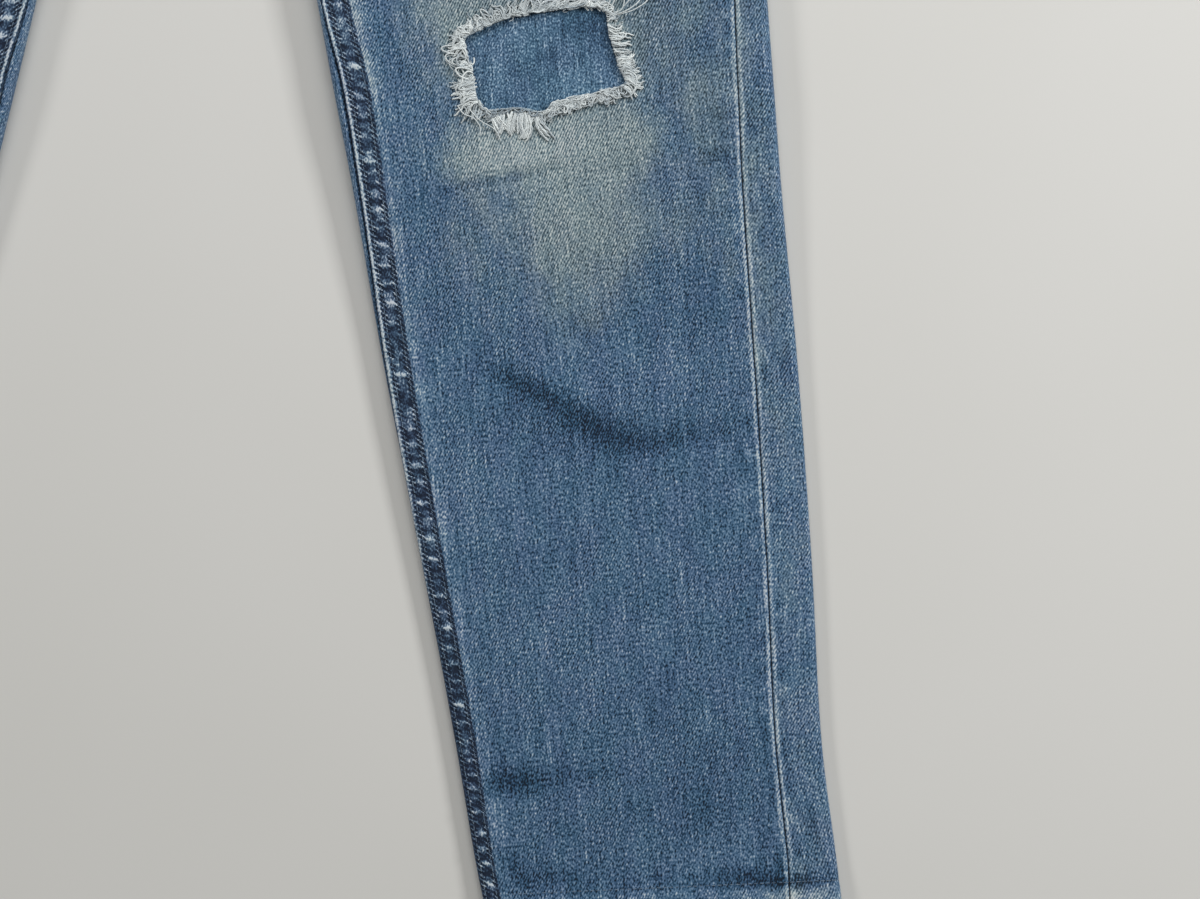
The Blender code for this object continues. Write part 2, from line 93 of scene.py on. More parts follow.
# A worn or dirty place, or a painted shadow: its centre, its half sizes and its turn in degrees on the flat
# front, how much paler or darker it makes the cloth and how much grey dust it adds.
Mark = namedtuple("Mark", "across down half_across half_down turn worn dusty")
LEFT_KNEE_MARKS = [Mark(*row) for row in (
    (174, 364, 42, 15, 8, 0.35, 0.95),
    (212, 360, 20, 17, 0, 0.00, 0.55),
    (194, 396, 36, 30, 0, 0.06, 0.50),
    (198, 420, 28, 34, 0, 0.00, 0.36),
    (214, 390, 16, 26, 0, -0.06, 0.10),
    (142, 402, 16, 40, 0, 0.06, 0.32),
    (176, 396, 22, 12, 0, 0.12, 0.10),
    (130, 374, 14, 14, 0, -0.10, 0.00),
    (160, 289, 50, 22, 0, -0.03, 0.76),
    (168, 445, 32, 34, 0, 0.02, 0.14),
    (200, 620, 100, 110, 0, 0.04, 0.00),
    (246, 402, 24, 40, 0, 0.00, 0.22),
    (274, 425, 14, 60, 0, 0.04, 0.16),
    (176, 320, 58, 30, 0, 0.00, 0.55),
    (232, 300, 30, 40, 0, -0.12, 0.25),
    (254, 316, 8, 10, 0, -0.10, -0.20),
    (256, 340, 15, 46, 0, 0.00, 0.40),
    (117, 369, 9, 28, 4, 0.10, 0.08),
    (163, 378, 34, 2.4, 13.5, -0.26, -0.20),
    (204, 375, 22, 3.5, 21, -0.12, 0.00),
    (201, 446, 12, 6, 0, -0.16, 0.12),
    (189, 461, 10, 7, 0, 0.14, 0.10),
    (260, 365, 8, 3, 6, -0.42, 0.00),
    (262, 346, 5, 3, 6, -0.25, 0.00),
    (128, 320, 14, 40, 12, 0.06, 0.12),
    (168, 477, 18, 5.5, -26, -0.48, 0.00),
    (192, 489, 19, 7, -30, -0.42, 0.00),
    (214, 500, 19, 8, -17, -0.44, 0.00),
    (246, 501, 27, 6, 12, -0.30, 0.00),
    (180, 500, 30, 14, -20, -0.10, 0.00),
    (258, 438, 7, 16, 4, -0.10, 0.00),
    (228, 470, 34, 12, 8, 0.10, 0.05),
    (150, 530, 26, 30, 0, 0.08, 0.00),
    (172, 668, 17, 7, 4, -0.54, 0.00),
    (162, 663, 8, 8, 0, -0.14, 0.00),
    (202, 664, 22, 3, 6, -0.14, 0.00),
    (166, 679, 16, 3, 8, 0.16, 0.00),
    (215, 690, 60, 30, 0, -0.06, 0.00),
    (262, 650, 22, 40, 0, -0.06, 0.00),
    (262, 682, 5, 11, 0, -0.22, 0.00),
    (160, 690, 22, 10, 0, 0.10, 0.00),
    # The next five dark marks, along the hem's upper edge, are painted shadow of that edge.
    (172, 708, 10, 4, -45, -0.24, 0.00),
    (188, 713, 13, 4, 4, -0.32, 0.00),
    (305, 713, 13, 4.4, 4, -0.62, 0.00),
    (285, 711, 8, 5, 0, -0.32, 0.00),
    (292, 709, 30, 5, 4, -0.12, 0.00),
    (278, 702, 14, 5, 0, 0.10, 0.00),
    (313, 682, 3, 8, 0, -0.35, 0.00),
    (315, 698, 3, 6, 0, -0.30, 0.00),
    (212, 660, 18, 9, 0, -0.12, 0.00),
    (247, 631, 14, 14, 0, -0.10, 0.00),
    (150, 637, 8, 14, 0, -0.16, 0.00),
    (134, 480, 8, 16, 0, 0.08, 0.00),
    (300, 720, 26, 4, 0, 0.30, 0.15),
)]
RIGHT_KNEE_MARKS = [Mark(*row) for row in (
    (176, 330, 48, 44, 0, 0.15, 0.60),
    (186, 395, 38, 40, 0, 0.08, 0.30),
    (206, 372, 24, 3.5, 12, -0.20, 0.00),
    (178, 482, 30, 8, -30, -0.28, 0.00),
    (225, 500, 36, 9, -4, -0.32, 0.00),
    (188, 660, 20, 7, 0, -0.25, 0.00),
    # This dark mark along the hem's upper edge is painted shadow of that edge.
    (210, 712, 20, 4, 4, -0.30, 0.00),
)]
THIGH_MARKS = [Mark(*row) for row in (
    (128, 110, 60, 130, 6, 0.16, 0.28),
    (110, -20, 60, 60, 0, 0.08, 0.12),
    (95, -8, 70, 5, -16, -0.22, 0.00),
    (105, 12, 72, 5, -24, -0.26, 0.00),
    (98, -34, 66, 4, -8, -0.18, 0.00),
    (112, 36, 66, 5, -32, -0.20, 0.00),
    (100, 2, 66, 3, -20, 0.18, 0.10),
    (108, 25, 60, 3, -28, 0.18, 0.10),
)]
SEAT_MARKS = [Mark(*row) for row in (
    (115, -70, 70, 60, 0, 0.16, 0.25),
    (120, 30, 60, 40, 0, 0.08, 0.10),
    (140, 300, 50, 60, 0, 0.04, 0.15),
    (160, 322, 60, 5, 14, -0.26, 0.00),
    (170, 345, 52, 5, 4, -0.22, 0.00),
    (165, 300, 50, 4, -10, -0.18, 0.00),
    (210, 640, 40, 60, 0, 0.08, 0.10),
)]

# A crease or a soft swell: as a mark, with its height in millimetres.
Crease = namedtuple("Crease", "across down half_across half_down turn height")
LEFT_CREASES = [Crease(*row) for row in (
    (163, 379, 34, 2.6, 13.5, -0.45),
    (166, 373, 34, 5, 13.5, 0.35),
    (204, 376, 24, 3.5, 21, -0.30),
    (168, 478, 20, 5, -26, -0.45),
    (200, 494, 28, 6, -26, -0.55),
    (246, 502, 30, 6, 12, -0.50),
    (215, 488, 44, 9, 0, 0.60),
    (150, 540, 30, 40, 10, 0.50),
    (240, 590, 34, 50, -8, 0.45),
    (171, 667, 20, 6, 4, -0.45),
    (262, 640, 24, 40, 6, 0.40),
    (110, 210, 40, 60, 12, 0.50),
    (200, 160, 60, 7, -14, -0.45),
    (180, 60, 70, 8, -22, 0.60),
    (120, 20, 80, 5, -26, -0.60),
    (105, -10, 80, 5, -16, -0.55),
    (196, 240, 40, 9, 8, -0.40),
)]
RIGHT_CREASES = [Crease(*row) for row in (
    (206, 374, 28, 4, 12, -0.50),
    (204, 382, 30, 7, 12, 0.50),
    (178, 482, 32, 6, -30, -0.50),
    (225, 500, 38, 7, -4, -0.55),
    (188, 660, 22, 6, 0, -0.45),
    (160, 560, 30, 50, 8, 0.50),
    (110, 18, 80, 5, -24, -0.60),
    (100, -12, 80, 5, -14, -0.55),
    (190, 70, 64, 8, -20, 0.60),
    (205, 170, 56, 7, -8, -0.45),
    (120, 230, 40, 60, 12, 0.50),
)]
BACK_CREASES = [Crease(*row) for row in (
    (160, 322, 62, 5, 14, -0.70),
    (170, 345, 56, 5, 4, -0.65),
    (165, 300, 54, 4, -10, -0.55),
    (110, 14, 70, 5, 24, -0.60),
    (120, 34, 70, 5, 30, -0.55),
    (215, 520, 50, 6, -8, -0.50),
    (230, 650, 50, 6, 6, -0.50),
)]

# The rip: its centre across and below the crotch in millimetres, and its lean.
RIP_CENTRE = (177, 321.5)
RIP_LEAN = math.radians(12.8)
# How bare of indigo the cloth is at the rip's edge, by places along it in millimetres clockwise from its
# upper left corner.
BARE = ((0, 0.35), (14, 0.4), (30, 0.6), (60, 0.7), (72, 0.6), (76, 0.3), (94, 0.3), (97, 0.7), (112, 0.6),
        (118, 0.65), (148, 0.6), (152, 0.45), (172, 0.45), (181, 0.5), (193, 0.7), (196, 0.15), (206, 0.15),
        (209, 0.7), (220, 0.6), (226, 0.35))
# Its edge, in millimetres to the right of its centre and up from it before it leans, clockwise.
RIP_EDGE = ((-34.8, 17), (-25, 20.3), (-14, 22), (-5, 22.8), (7, 21.7), (20, 21), (32, 17.6), (32.6, 9),
            (33, 0), (34, -10), (35.5, -19.5), (29, -20.5), (12, -21), (0, -22), (-6, -24.5), (-15, -21),
            (-24, -19.5), (-31, -19.5), (-35.5, -13), (-35, 0), (-36, 10))


# -------------------- the draft: where each point of the cloth lies

def smooth(low, high, value):
    """0 below low, 1 above high, and an even ease between them."""
    share = np.clip((value - low) / (high - low), 0.0, 1.0)
    return share * share * (3 - 2 * share)


def bell(value, middle, width):
    """1 at the middle, and falling evenly to nothing on both sides of it."""
    return np.exp(-((value - middle) / width) ** 2)


def slope_at(values, index):
    """The slope of a curve through the sections that never overshoots them."""
    def step(first):
        return (values[first + 1] - values[first]) / (SIDE_DOWNS[first + 1] - SIDE_DOWNS[first])
    if index in (0, LAST):
        return step(0 if index == 0 else LAST - 1)
    before, after = step(index - 1), step(index)
    return 0.0 if before * after <= 0 else 2 * before * after / (before + after)


SLOPES = [[slope_at([row[field] for row in ROWS], index) for field in range(len(Section._fields))]
          for index in range(len(ROWS))]


def section_at(place):
    """The section at a place in the table, where 2.5 is halfway between sections 2 and 3."""
    index = min(int(place), LAST - 1)
    share = place - index
    span = SIDE_DOWNS[index + 1] - SIDE_DOWNS[index]
    ease = share * share * (3 - 2 * share)
    lead, trail = share * (1 - share) ** 2 * span, -share * share * (1 - share) * span
    return Section(*(start + (end - start) * ease + lead * leaving + trail * arriving
                     for start, end, leaving, arriving in zip(ROWS[index], ROWS[index + 1], SLOPES[index],
                                                              SLOPES[index + 1])))


def place_of(down):
    """The place in the table of a section whose outer end is this far down."""
    return float(np.interp(down, SIDE_DOWNS, range(len(ROWS))))


def quarter(across, rise):
    """The length of a quarter of an ellipse."""
    return math.pi / 2 * math.sqrt((across * across + rise * rise) / 2)


def inner_turn(section):
    """The length of the inner fold, which grows from nothing between the fork and the crotch."""
    return quarter(section.fold, section.height / 2) * float(smooth(0, CROTCH_FOLD, section.fold))


def half_loop(section):
    """The length round the cloth from the inner folded edge, over the front, to the outer one."""
    rise = section.height / 2
    return inner_turn(section) + section.outer - section.inner - section.fold - rise + quarter(rise, rise)


def lie(section, side, round_it):
    """Points of the cloth round a section, and the directions out of it. side is 1 for the wearer's left."""
    round_it = np.asarray(round_it, float)
    rise = section.height / 2
    half = half_loop(section)
    on_front = (round_it <= half) | (round_it > 2 * half)
    along = np.where(round_it > 2 * half, round_it - 2 * half, np.minimum(round_it, 2 * half - round_it))
    inner_fold = inner_turn(section)
    outer_fold = quarter(rise, rise)
    across = section.inner + section.fold + along - inner_fold
    out, up = np.zeros_like(along), np.ones_like(along)
    if inner_fold > 0:
        turn = np.clip(along / inner_fold, 0, 1) * math.pi / 2
        near = along < inner_fold
        across = np.where(near, section.inner + section.fold * (1 - np.cos(turn)), across)
        out, up = np.where(near, -np.cos(turn), out), np.where(near, np.sin(turn), up)
    turn = np.clip((half - along) / outer_fold, 0, 1) * math.pi / 2
    far = along > half - outer_fold
    across = np.where(far, section.outer - rise + rise * np.cos(turn), across)
    out, up = np.where(far, np.cos(turn), out), np.where(far, np.sin(turn), up)
    share = np.minimum(1.0, np.abs(across - section.inner) / (section.outer - section.inner))
    end = np.where(on_front, section.front, section.back)
    down = end + (section.side - end) * share ** section.bow
    sign = np.where(on_front, 1.0, -1.0)
    points = np.stack([side * across, MID_DOWN - down, section.lift + rise + sign * up * rise], axis=1)
    return points, np.stack([side * out, np.zeros_like(out), sign * up], axis=1)


def through(stops, index, share):
    """Points of a smooth curve through stops: the share of the way from the stop after index to the next."""
    before, start, end, after = (stops[(index + shift) % len(stops)] for shift in range(4))
    return start + 0.5 * share * (end - before + share * (2 * before - 5 * start + 4 * end - after
                                  + share * (3 * (start - end) + after - before)))


def wander(*coordinates, seed=0):
    """Smooth noise from -1 to 1 over one or two coordinates."""
    first = np.atleast_1d(coordinates[0])
    second = np.broadcast_to(coordinates[1] if len(coordinates) > 1 else 0.0, first.shape)
    return np.array([noise.noise((a, b, seed * 7.31)) for a, b in zip(first.ravel(), second.ravel())]
                    ).reshape(first.shape) * 1.6


def marks_at(marks, across, down, fields):
    """What a table of marks or creases adds at these places."""
    sums = [np.zeros_like(across) for _ in fields]
    for mark in marks:
        turn = math.radians(mark.turn)
        right, below = across / MM - mark.across, down / MM - mark.down
        a = (right * math.cos(turn) - below * math.sin(turn)) / mark.half_across
        b = (right * math.sin(turn) + below * math.cos(turn)) / mark.half_down
        shape = np.exp(-(np.abs(a) ** 2.4) - b * b)
        for total, field in zip(sums, fields):
            total += getattr(mark, field) * shape
    return sums


# -------------------- meshes from rows of points

Sheet = namedtuple("Sheet", "points flat worn dusty")


def join(rows):
    """One sheet from its rows."""
    return Sheet(*(np.stack([getattr(row, field) for row in rows]) for field in Sheet._fields))


def flat_of(section, side, round_it, from_back=False):
    """Where the points lie on the flat cloth: across, and along the warp upwards."""
    if from_back:
        across = -side * (2 * half_loop(section) - round_it + section.inner)
        end, turn = section.back, -side * GRAIN_TURN
    else:
        across = side * (section.inner + round_it)
        end, turn = section.front, side * GRAIN_TURN
    share = np.minimum(1.0, np.abs(across) / section.outer)
    up = MID_DOWN - (end + (section.side - end) * share ** section.bow)
    return np.stack([across * math.cos(turn) + up * math.sin(turn),
                     up * math.cos(turn) - across * math.sin(turn)], axis=1)


def mesh_piece(name, points, faces, material, flat=None, **attributes):
    """A piece from points and faces, its flat places as its UV map, in metres of cloth."""
    mesh = bpy.data.meshes.new(name)
    mesh.from_pydata(np.asarray(points).tolist(), [], [list(face) for face in faces])
    mesh.polygons.foreach_set("use_smooth", [True] * len(mesh.polygons))
    if flat is not None:
        corners = np.empty(len(mesh.loops), dtype=np.int64)
        mesh.loops.foreach_get("vertex_index", corners)
        mesh.uv_layers.new(name="cloth").data.foreach_set("uv", np.asarray(flat, np.float32)[corners].ravel())
    for key, values in attributes.items():
        mesh.attributes.new(key, "FLOAT", "POINT").data.foreach_set("value", np.asarray(values, np.float32))
    mesh.materials.append(material)
    piece = bpy.data.objects.new(name, mesh)
    bpy.context.scene.collection.objects.link(piece)
    return piece


def grid_faces(rows, columns, flip, closed=False, missing=None):
    """The faces of a grid, as corners of its flattened rows."""
    faces = []
    for row in range(rows - 1):
        for column in range(columns if closed else columns - 1):
            if missing is not None and missing[row, column]:
                continue
            beside = (column + 1) % columns
            ring = (row * columns + column, row * columns + beside,
                    (row + 1) * columns + beside, (row + 1) * columns + column)
            faces.append(ring[::-1] if flip else ring)
    return faces


def cloth_piece(name, sheet, material, side, thickness=CLOTH, closed=False, missing=None, slot="denim",
                extra=None):
    """A wall of cloth from a sheet, its outer side on the sheet's points. extra adds points and faces."""
    rows, columns = sheet.points.shape[:2]
    faces = grid_faces(rows, columns, side > 0, closed, missing)
    parts = {"points": sheet.points.reshape(-1, 3), "flat": sheet.flat.reshape(-1, 2),
             "worn": sheet.worn.ravel(), "dusty": sheet.dusty.ravel()}
    if extra is not None:
        more, more_faces = extra
        faces += more_faces
        parts = {key: np.concatenate([parts[key], getattr(more, key)]) for key in parts}
    used = np.unique(np.array([corner for face in faces for corner in face]))
    number = np.full(len(parts["points"]), -1)
    number[used] = np.arange(len(used))
    faces = [[int(number[corner]) for corner in face] for face in faces]
    parts = {key: values[used] for key, values in parts.items()}
    piece = mesh_piece(name, parts["points"], faces, material, parts["flat"], worn=parts["worn"],
                       dusty=parts["dusty"])
    piece["flat_size"] = [float(value) for value in np.ptp(parts["flat"], axis=0)]
    piece["flat_area"] = flat_area(parts["flat"], faces)
    wall = piece.modifiers.new("cloth", "SOLIDIFY")
    wall.thickness = thickness
    wall.offset = -1
    wall.use_even_offset = False
    dress(piece, slot)
    return piece


def flat_area(flat, faces):
    """The area of the faces on the flat cloth."""
    total = 0.0
    for face in faces:
        ring = flat[face]
        beside = np.roll(ring, -1, axis=0)
        total += abs(float(np.sum(ring[:, 0] * beside[:, 1] - ring[:, 1] * beside[:, 0]))) / 2
    return total


def dress(piece, slot, *nodes):
    """Puts a piece on the garment and hides the parts that it replaces; slot is not used."""
    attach(piece, "root")
    if nodes:
        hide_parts(*nodes)


# -------------------- materials

def hex_colour(code):
    """An sRGB hex colour as the linear colour that shaders take."""
    parts = [int(code[index:index + 2], 16) / 255 for index in (1, 3, 5)]
    return (*(part / 12.92 if part <= 0.04045 else ((part + 0.055) / 1.055) ** 2.4 for part in parts), 1.0)


def add(tree, kind, inputs=None, **settings):
    """Adds a node with its settings, and its inputs as values or links."""
    made = tree.nodes.new(kind)
    for name, value in settings.items():
        setattr(made, name, value)
    for key, value in (inputs or {}).items():
        if isinstance(value, bpy.types.NodeSocket):
            tree.links.new(value, made.inputs[key])
        else:
            made.inputs[key].default_value = value
    return made


def new_material(name, roughness, metallic=0.0, sheen=0.0):
    """A material with a Principled shader, and the tree and shader to build on."""
    material = bpy.data.materials.new(name)
    material.use_nodes = True
    tree = material.node_tree
    shader = tree.nodes["Principled BSDF"]
    shader.inputs["Roughness"].default_value = roughness
    shader.inputs["Metallic"].default_value = metallic
    shader.inputs["Sheen Weight"].default_value = sheen
    return material, tree, shader


def ramp(tree, factor, stops):
    """A colour ramp through these places and hex colours."""
    made = add(tree, "ShaderNodeValToRGB", {"Fac": factor})
    elements = made.color_ramp.elements
    while len(elements) < len(stops):
        elements.new(0.5)
    for element, (place, code) in zip(elements, stops):
        element.position, element.color = place, hex_colour(code)
    return made.outputs["Color"]


INDIGO = ((0.0, "#061627"), (0.20, "#183953"), (0.42, "#3d5c7a"), (0.55, "#516d89"), (0.70, "#6a839c"),
          (0.85, "#8f9faf"), (1.0, "#bcc7cb"))
DARK_INDIGO = ((0.0, "#101d30"), (0.25, "#26384f"), (0.45, "#3a506a"), (0.6, "#566d83"), (0.8, "#8b9bab"),
               (1.0, "#c2cacd"))
CLEAN_INDIGO = ((0.0, "#10273a"), (0.25, "#2a4862"), (0.45, "#44627c"), (0.6, "#5c7b94"), (0.8, "#8aa3b6"),
                (1.0, "#c2cfd6"))
DUST = ((0.0, "#2c3d46"), (0.25, "#576a73"), (0.5, "#7a8c93"), (0.72, "#9caaab"), (1.0, "#c9cfcb"))

TWILL_MM = 1.2
TWILL_ANGLE = math.radians(60)


def denim(name, tones, level=0.45, grain=1.0, twill=1.0, shift=0.0, cloud=0.20, flecks=(0.95, 1.3),
          slubs=0.12):
    """Right-hand cotton twill, indigo warp over white weft, washed and worn.

    The indigo lies on the yarns' outside, so the raised warp is worn pale and the hollows stay dark. Slubs in
    the warp give streaks along it. The twill lines are as coarse as heavy denim's."""
    material, tree, shader = new_material(name, roughness=0.88, sheen=0.08)
    shader.inputs["Specular IOR Level"].default_value = 0.25
    flat = add(tree, "ShaderNodeUVMap", uv_map="cloth").outputs["UV"]

    def pattern(across_mm, along_mm, detail=2.0, rough=0.6, offset=0.0):
        """Noise whose grains are this many millimetres across and along the warp."""
        placed = add(tree, "ShaderNodeMapping", {
            "Vector": flat, "Location": (offset + shift, offset * 1.7, 0),
            "Scale": (1000 / across_mm, 1000 / along_mm, 1)})
        return add(tree, "ShaderNodeTexNoise", {
            "Vector": placed.outputs["Vector"], "Scale": 1.0, "Detail": detail, "Roughness": rough},
            noise_dimensions="2D").outputs["Fac"]

    def sum_of(start, *terms):
        """start plus each pattern, less its middle, times its weight."""
        total = start
        for value, middle, weight in terms:
            part = add(tree, "ShaderNodeMath", {0: value, 1: middle}, operation="SUBTRACT").outputs[0]
            total = add(tree, "ShaderNodeMath", {0: part, 1: weight, 2: total},
                        operation="MULTIPLY_ADD").outputs[0]
        return total

    turned = add(tree, "ShaderNodeMapping", {
        "Vector": flat, "Scale": (1000, 1000, 1), "Rotation": (0, 0, math.pi / 2 - TWILL_ANGLE)})
    lines = add(tree, "ShaderNodeTexWave", {
        "Vector": turned.outputs["Vector"], "Scale": math.pi / 10 / TWILL_MM, "Distortion": 2.6,
        "Detail": 1.0, "Detail Scale": 0.6}, wave_type="BANDS", bands_direction="X").outputs["Fac"]
    seen = add(tree, "ShaderNodeMapRange", {
        "Value": pattern(26, 60, 1.0), "From Min": 0.35, "From Max": 0.65, "To Min": 0.35 * twill,
        "To Max": 0.8 * twill}).outputs["Result"]
    # worn is mostly wear, and in places painted shadow: on the knee patch and above the hems.
    worn = add(tree, "ShaderNodeAttribute", attribute_name="worn").outputs["Fac"]
    dusty = add(tree, "ShaderNodeAttribute", attribute_name="dusty").outputs["Fac"]
    # Where the indigo has gone, the ribs of the twill stand out.
    seen = add(tree, "ShaderNodeMath", {0: dusty, 1: 0.7 * twill, 2: seen},
               operation="MULTIPLY_ADD").outputs[0]
    streaks = add(tree, "ShaderNodeMapRange", {
        "Value": pattern(1.1, 60, 1.0, offset=31), "From Min": 0.62, "From Max": 0.74, "To Min": 0.0,
        "To Max": slubs}).outputs["Result"]

    yarns = pattern(*flecks, 0.6, 0.5)
    relief = sum_of(0.5, (yarns, 0.5, 1.0), (lines, 0.5, seen))
    tone = add(tree, "ShaderNodeMath", {0: worn, 1: 0.5, 2: level}, operation="MULTIPLY_ADD").outputs[0]
    tone = sum_of(tone, (yarns, 0.5, 1.15 * grain), (pattern(1.2, 20, 1.0, offset=7), 0.5, 0.40 * grain),
                  (pattern(2.2, 3.0, 1.0, offset=17), 0.5, 0.24 * grain),
                  (pattern(7, 40, 2.0, offset=13), 0.5, cloud), (streaks, 0.0, 1.0))
    weighed = add(tree, "ShaderNodeMath", {0: seen, 1: 0.42 * grain}, operation="MULTIPLY").outputs[0]
    tone = sum_of(tone, (lines, 0.5, weighed))

    cloudy = sum_of(dusty, (pattern(11, 20, 3.0, offset=3), 0.5, 0.55))
    cloud = add(tree, "ShaderNodeMapRange", {
        "Value": cloudy, "From Min": 0.12, "From Max": 0.85},
                interpolation_type="SMOOTHSTEP").outputs["Result"]
    colour = add(tree, "ShaderNodeMix", {
        "Factor": cloud, 6: ramp(tree, tone, tones), 7: ramp(tree, tone, DUST)}, data_type="RGBA").outputs[2]
    # Overdyed and washed cotton drifts between teal and violet from place to place.
    hue = ramp(tree, pattern(16, 24, 2.0, offset=21),
               ((0.36, "#3a7080"), (0.5, "#4f6f8c"), (0.64, "#5a6094")))
    drift = add(tree, "ShaderNodeMapRange",
                {"Value": cloud, "To Min": 0.08, "To Max": 0.04}).outputs["Result"]
    colour = add(tree, "ShaderNodeMix", {"Factor": drift, 6: colour, 7: hue}, data_type="RGBA",
                 blend_type="COLOR").outputs[2]
    bump = add(tree, "ShaderNodeBump", {"Height": relief, "Strength": 0.42, "Distance": 0.25 * MM})
    tree.links.new(colour, shader.inputs["Base Color"])
    tree.links.new(bump.outputs["Normal"], shader.inputs["Normal"])
    return material


def cotton(name, dark, pale):
    """Twisted cotton yarn or thread: soft, matt fibre with a shallow twist. tone makes each yarn its own."""
    material, tree, shader = new_material(name, roughness=0.95, sheen=0.15)
    place = add(tree, "ShaderNodeTexCoord").outputs["Object"]
    fibres = add(tree, "ShaderNodeTexNoise", {"Vector": place, "Scale": 1.0 / (0.9 * MM), "Detail": 2.0})
    tone = add(tree, "ShaderNodeAttribute", attribute_name="tone").outputs["Fac"]
    mixed = add(tree, "ShaderNodeMath", {0: fibres.outputs["Fac"], 1: 0.5}, operation="SUBTRACT").outputs[0]
    mixed = add(tree, "ShaderNodeMath", {0: mixed, 1: 0.5, 2: tone}, operation="MULTIPLY_ADD").outputs[0]
    tree.links.new(ramp(tree, mixed, ((0.0, dark), (1.0, pale))), shader.inputs["Base Color"])
    return material


DENIM = denim("washed denim twill", INDIGO, level=0.425)
SEAM_DENIM = denim("raw-edged denim in the felled seam", DARK_INDIGO, level=0.40, grain=0.95, twill=0.6,
                   flecks=(0.85, 1.1))
PATCH_DENIM = denim("unworn denim of the knee patch", CLEAN_INDIGO, level=0.455, grain=0.95, twill=0.6,
                    shift=90, cloud=0.38, flecks=(0.8, 1.15), slubs=0.18)
INSIDE_DENIM = denim("denim facing", DARK_INDIGO, level=0.42, shift=140)
YARN = cotton("frayed cotton weft", "#566d7e", "#dbe1e0")
THREAD = cotton("polyester-cotton topstitch thread", "#2c3f55", "#6f8294")


# -------------------- panels

def spread(start, end, count):
    """Numbers from start to end, both included."""
    return np.linspace(start, end, count)


def places_between(start, end, step, extra=()):
    """Places in the table from start to end, one every step of the way down."""
    first, last = (section_at(place).side for place in (start, end))
    downs = list(np.linspace(first, last, max(2, math.ceil((last - first) / step) + 1)))
    downs += [down for down in extra if first < down < last]
    return [start] + [place_of(down) for down in sorted(downs)[1:-1]] + [end]


FLY_LAP, FLY_RISE = 4 * MM, 1.4 * MM
FLY_END = ROW_OF["hip"]
SCOOP_ACROSS, SCOOP_DOWN = 72 * MM, 80 * MM
FELL_EDGE_NEAR = np.array([0, 0.5, 1.2, 2.2, 3.4, 4.8, 6.4, 8, 9.6, 11, 12.4, 14, 16]) * MM
OUTSEAM_EDGE_NEAR = np.array([0, 0.3, 0.65, 1.1, 1.6, 2.2, 3, 4, 5.2, 6.8, 8.8, 11, 14]) * MM


def fell_width(down):
    """The felled inseam is wide at the thigh and narrow at the hem."""
    return np.interp(down / MM, [0, 285, 340, 400, 470, 520, 589, 654, 714, 742],
                     [14.8, 14.2, 13.6, 12.6, 12.7, 12.5, 11.3, 10.6, 9.6, 9.3]) * MM


def scoop_edge(section):
    """How far round the cloth the front reaches: to the outseam, or to the pocket's curved opening."""
    end = half_loop(section) - section.outseam - SEAM
    waist = ROWS[ROW_OF["waist seam"]]
    depth = (section.side - waist.side) / SCOOP_DOWN
    if depth >= 1:
        return end
    centre = waist.outer - waist.outseam
    across = centre - SCOOP_ACROSS * math.sqrt(max(0.0, 1 - max(depth, 0.0) ** 2))
    return min(end, max(across, 0.1))


def outseam_look(far, down, seed, bold):
    """Relief, wear and dust beside the outseam: a groove, and a ridge that is rubbed pale."""
    s = far / MM
    along = down / MM
    uneven = 0.9 + 0.26 * wander(along / 11, seed=seed) + 0.24 * wander(along / 2.5, seed=seed + 1)
    ridge = np.exp(-(np.abs(s - 1.2) / 1.0) ** 2.4) * uneven
    groove = bell(s, 0, 0.34)
    relief = -0.65 * groove + 0.42 * ridge + 0.30 * (1 - smooth(7, 10, s))
    beside = bell(s, 4.6, 2.4)
    # The seam draws the cloth into small puckers, which show more towards the hem.
    puckers = wander(along / 4.5, s / 9, seed=seed + 2) * (0.5 + 0.5 * smooth(330, 600, along))
    relief = relief + 0.14 * puckers * beside
    worn = bold * ridge - 1.05 * groove + beside * (0.34 * puckers - 0.10 * smooth(530, 620, along))
    return relief * MM, worn, 0.16 * ridge + 0.12 * beside * puckers


HEM_STITCH = 19 * MM


def hem_look(section, flat_across):
    """Relief and wear of the turned-up hem, whose stitching ropes it with slanting puckers, and painted
    shadow above it.
    """
    edge = (ROWS[LAST].side - section.side) / MM
    if edge > 36:
        return 0.0, 0.0, 0.0
    along = flat_across / MM
    wave = np.sin((along + 0.8 * edge) * 2 * math.pi / 13 + 1.3 * wander(along / 20, seed=41))
    inside = smooth(0, 3, edge) * (1 - smooth(16.5, 19, edge))
    above = bell(edge, 22.5, 3.2)
    groove = bell(edge, HEM_STITCH / MM, 0.9)
    bold = 0.55 + 0.45 * wander(along / 34, seed=43)
    relief = 0.28 * bold * wave * inside - 0.35 * groove - 0.15 * above
    # The band just above the hem's upper edge is darkened: painted shadow of that edge.
    worn = (0.12 + 0.22 * bold * wave) * inside - 0.25 * groove + (-0.14 - 0.20 * bold * wave) * above \
        + 0.35 * bell(edge, 0, 1.2)
    return relief * MM, worn, 0.22 * inside * (0.5 + 0.5 * wave)


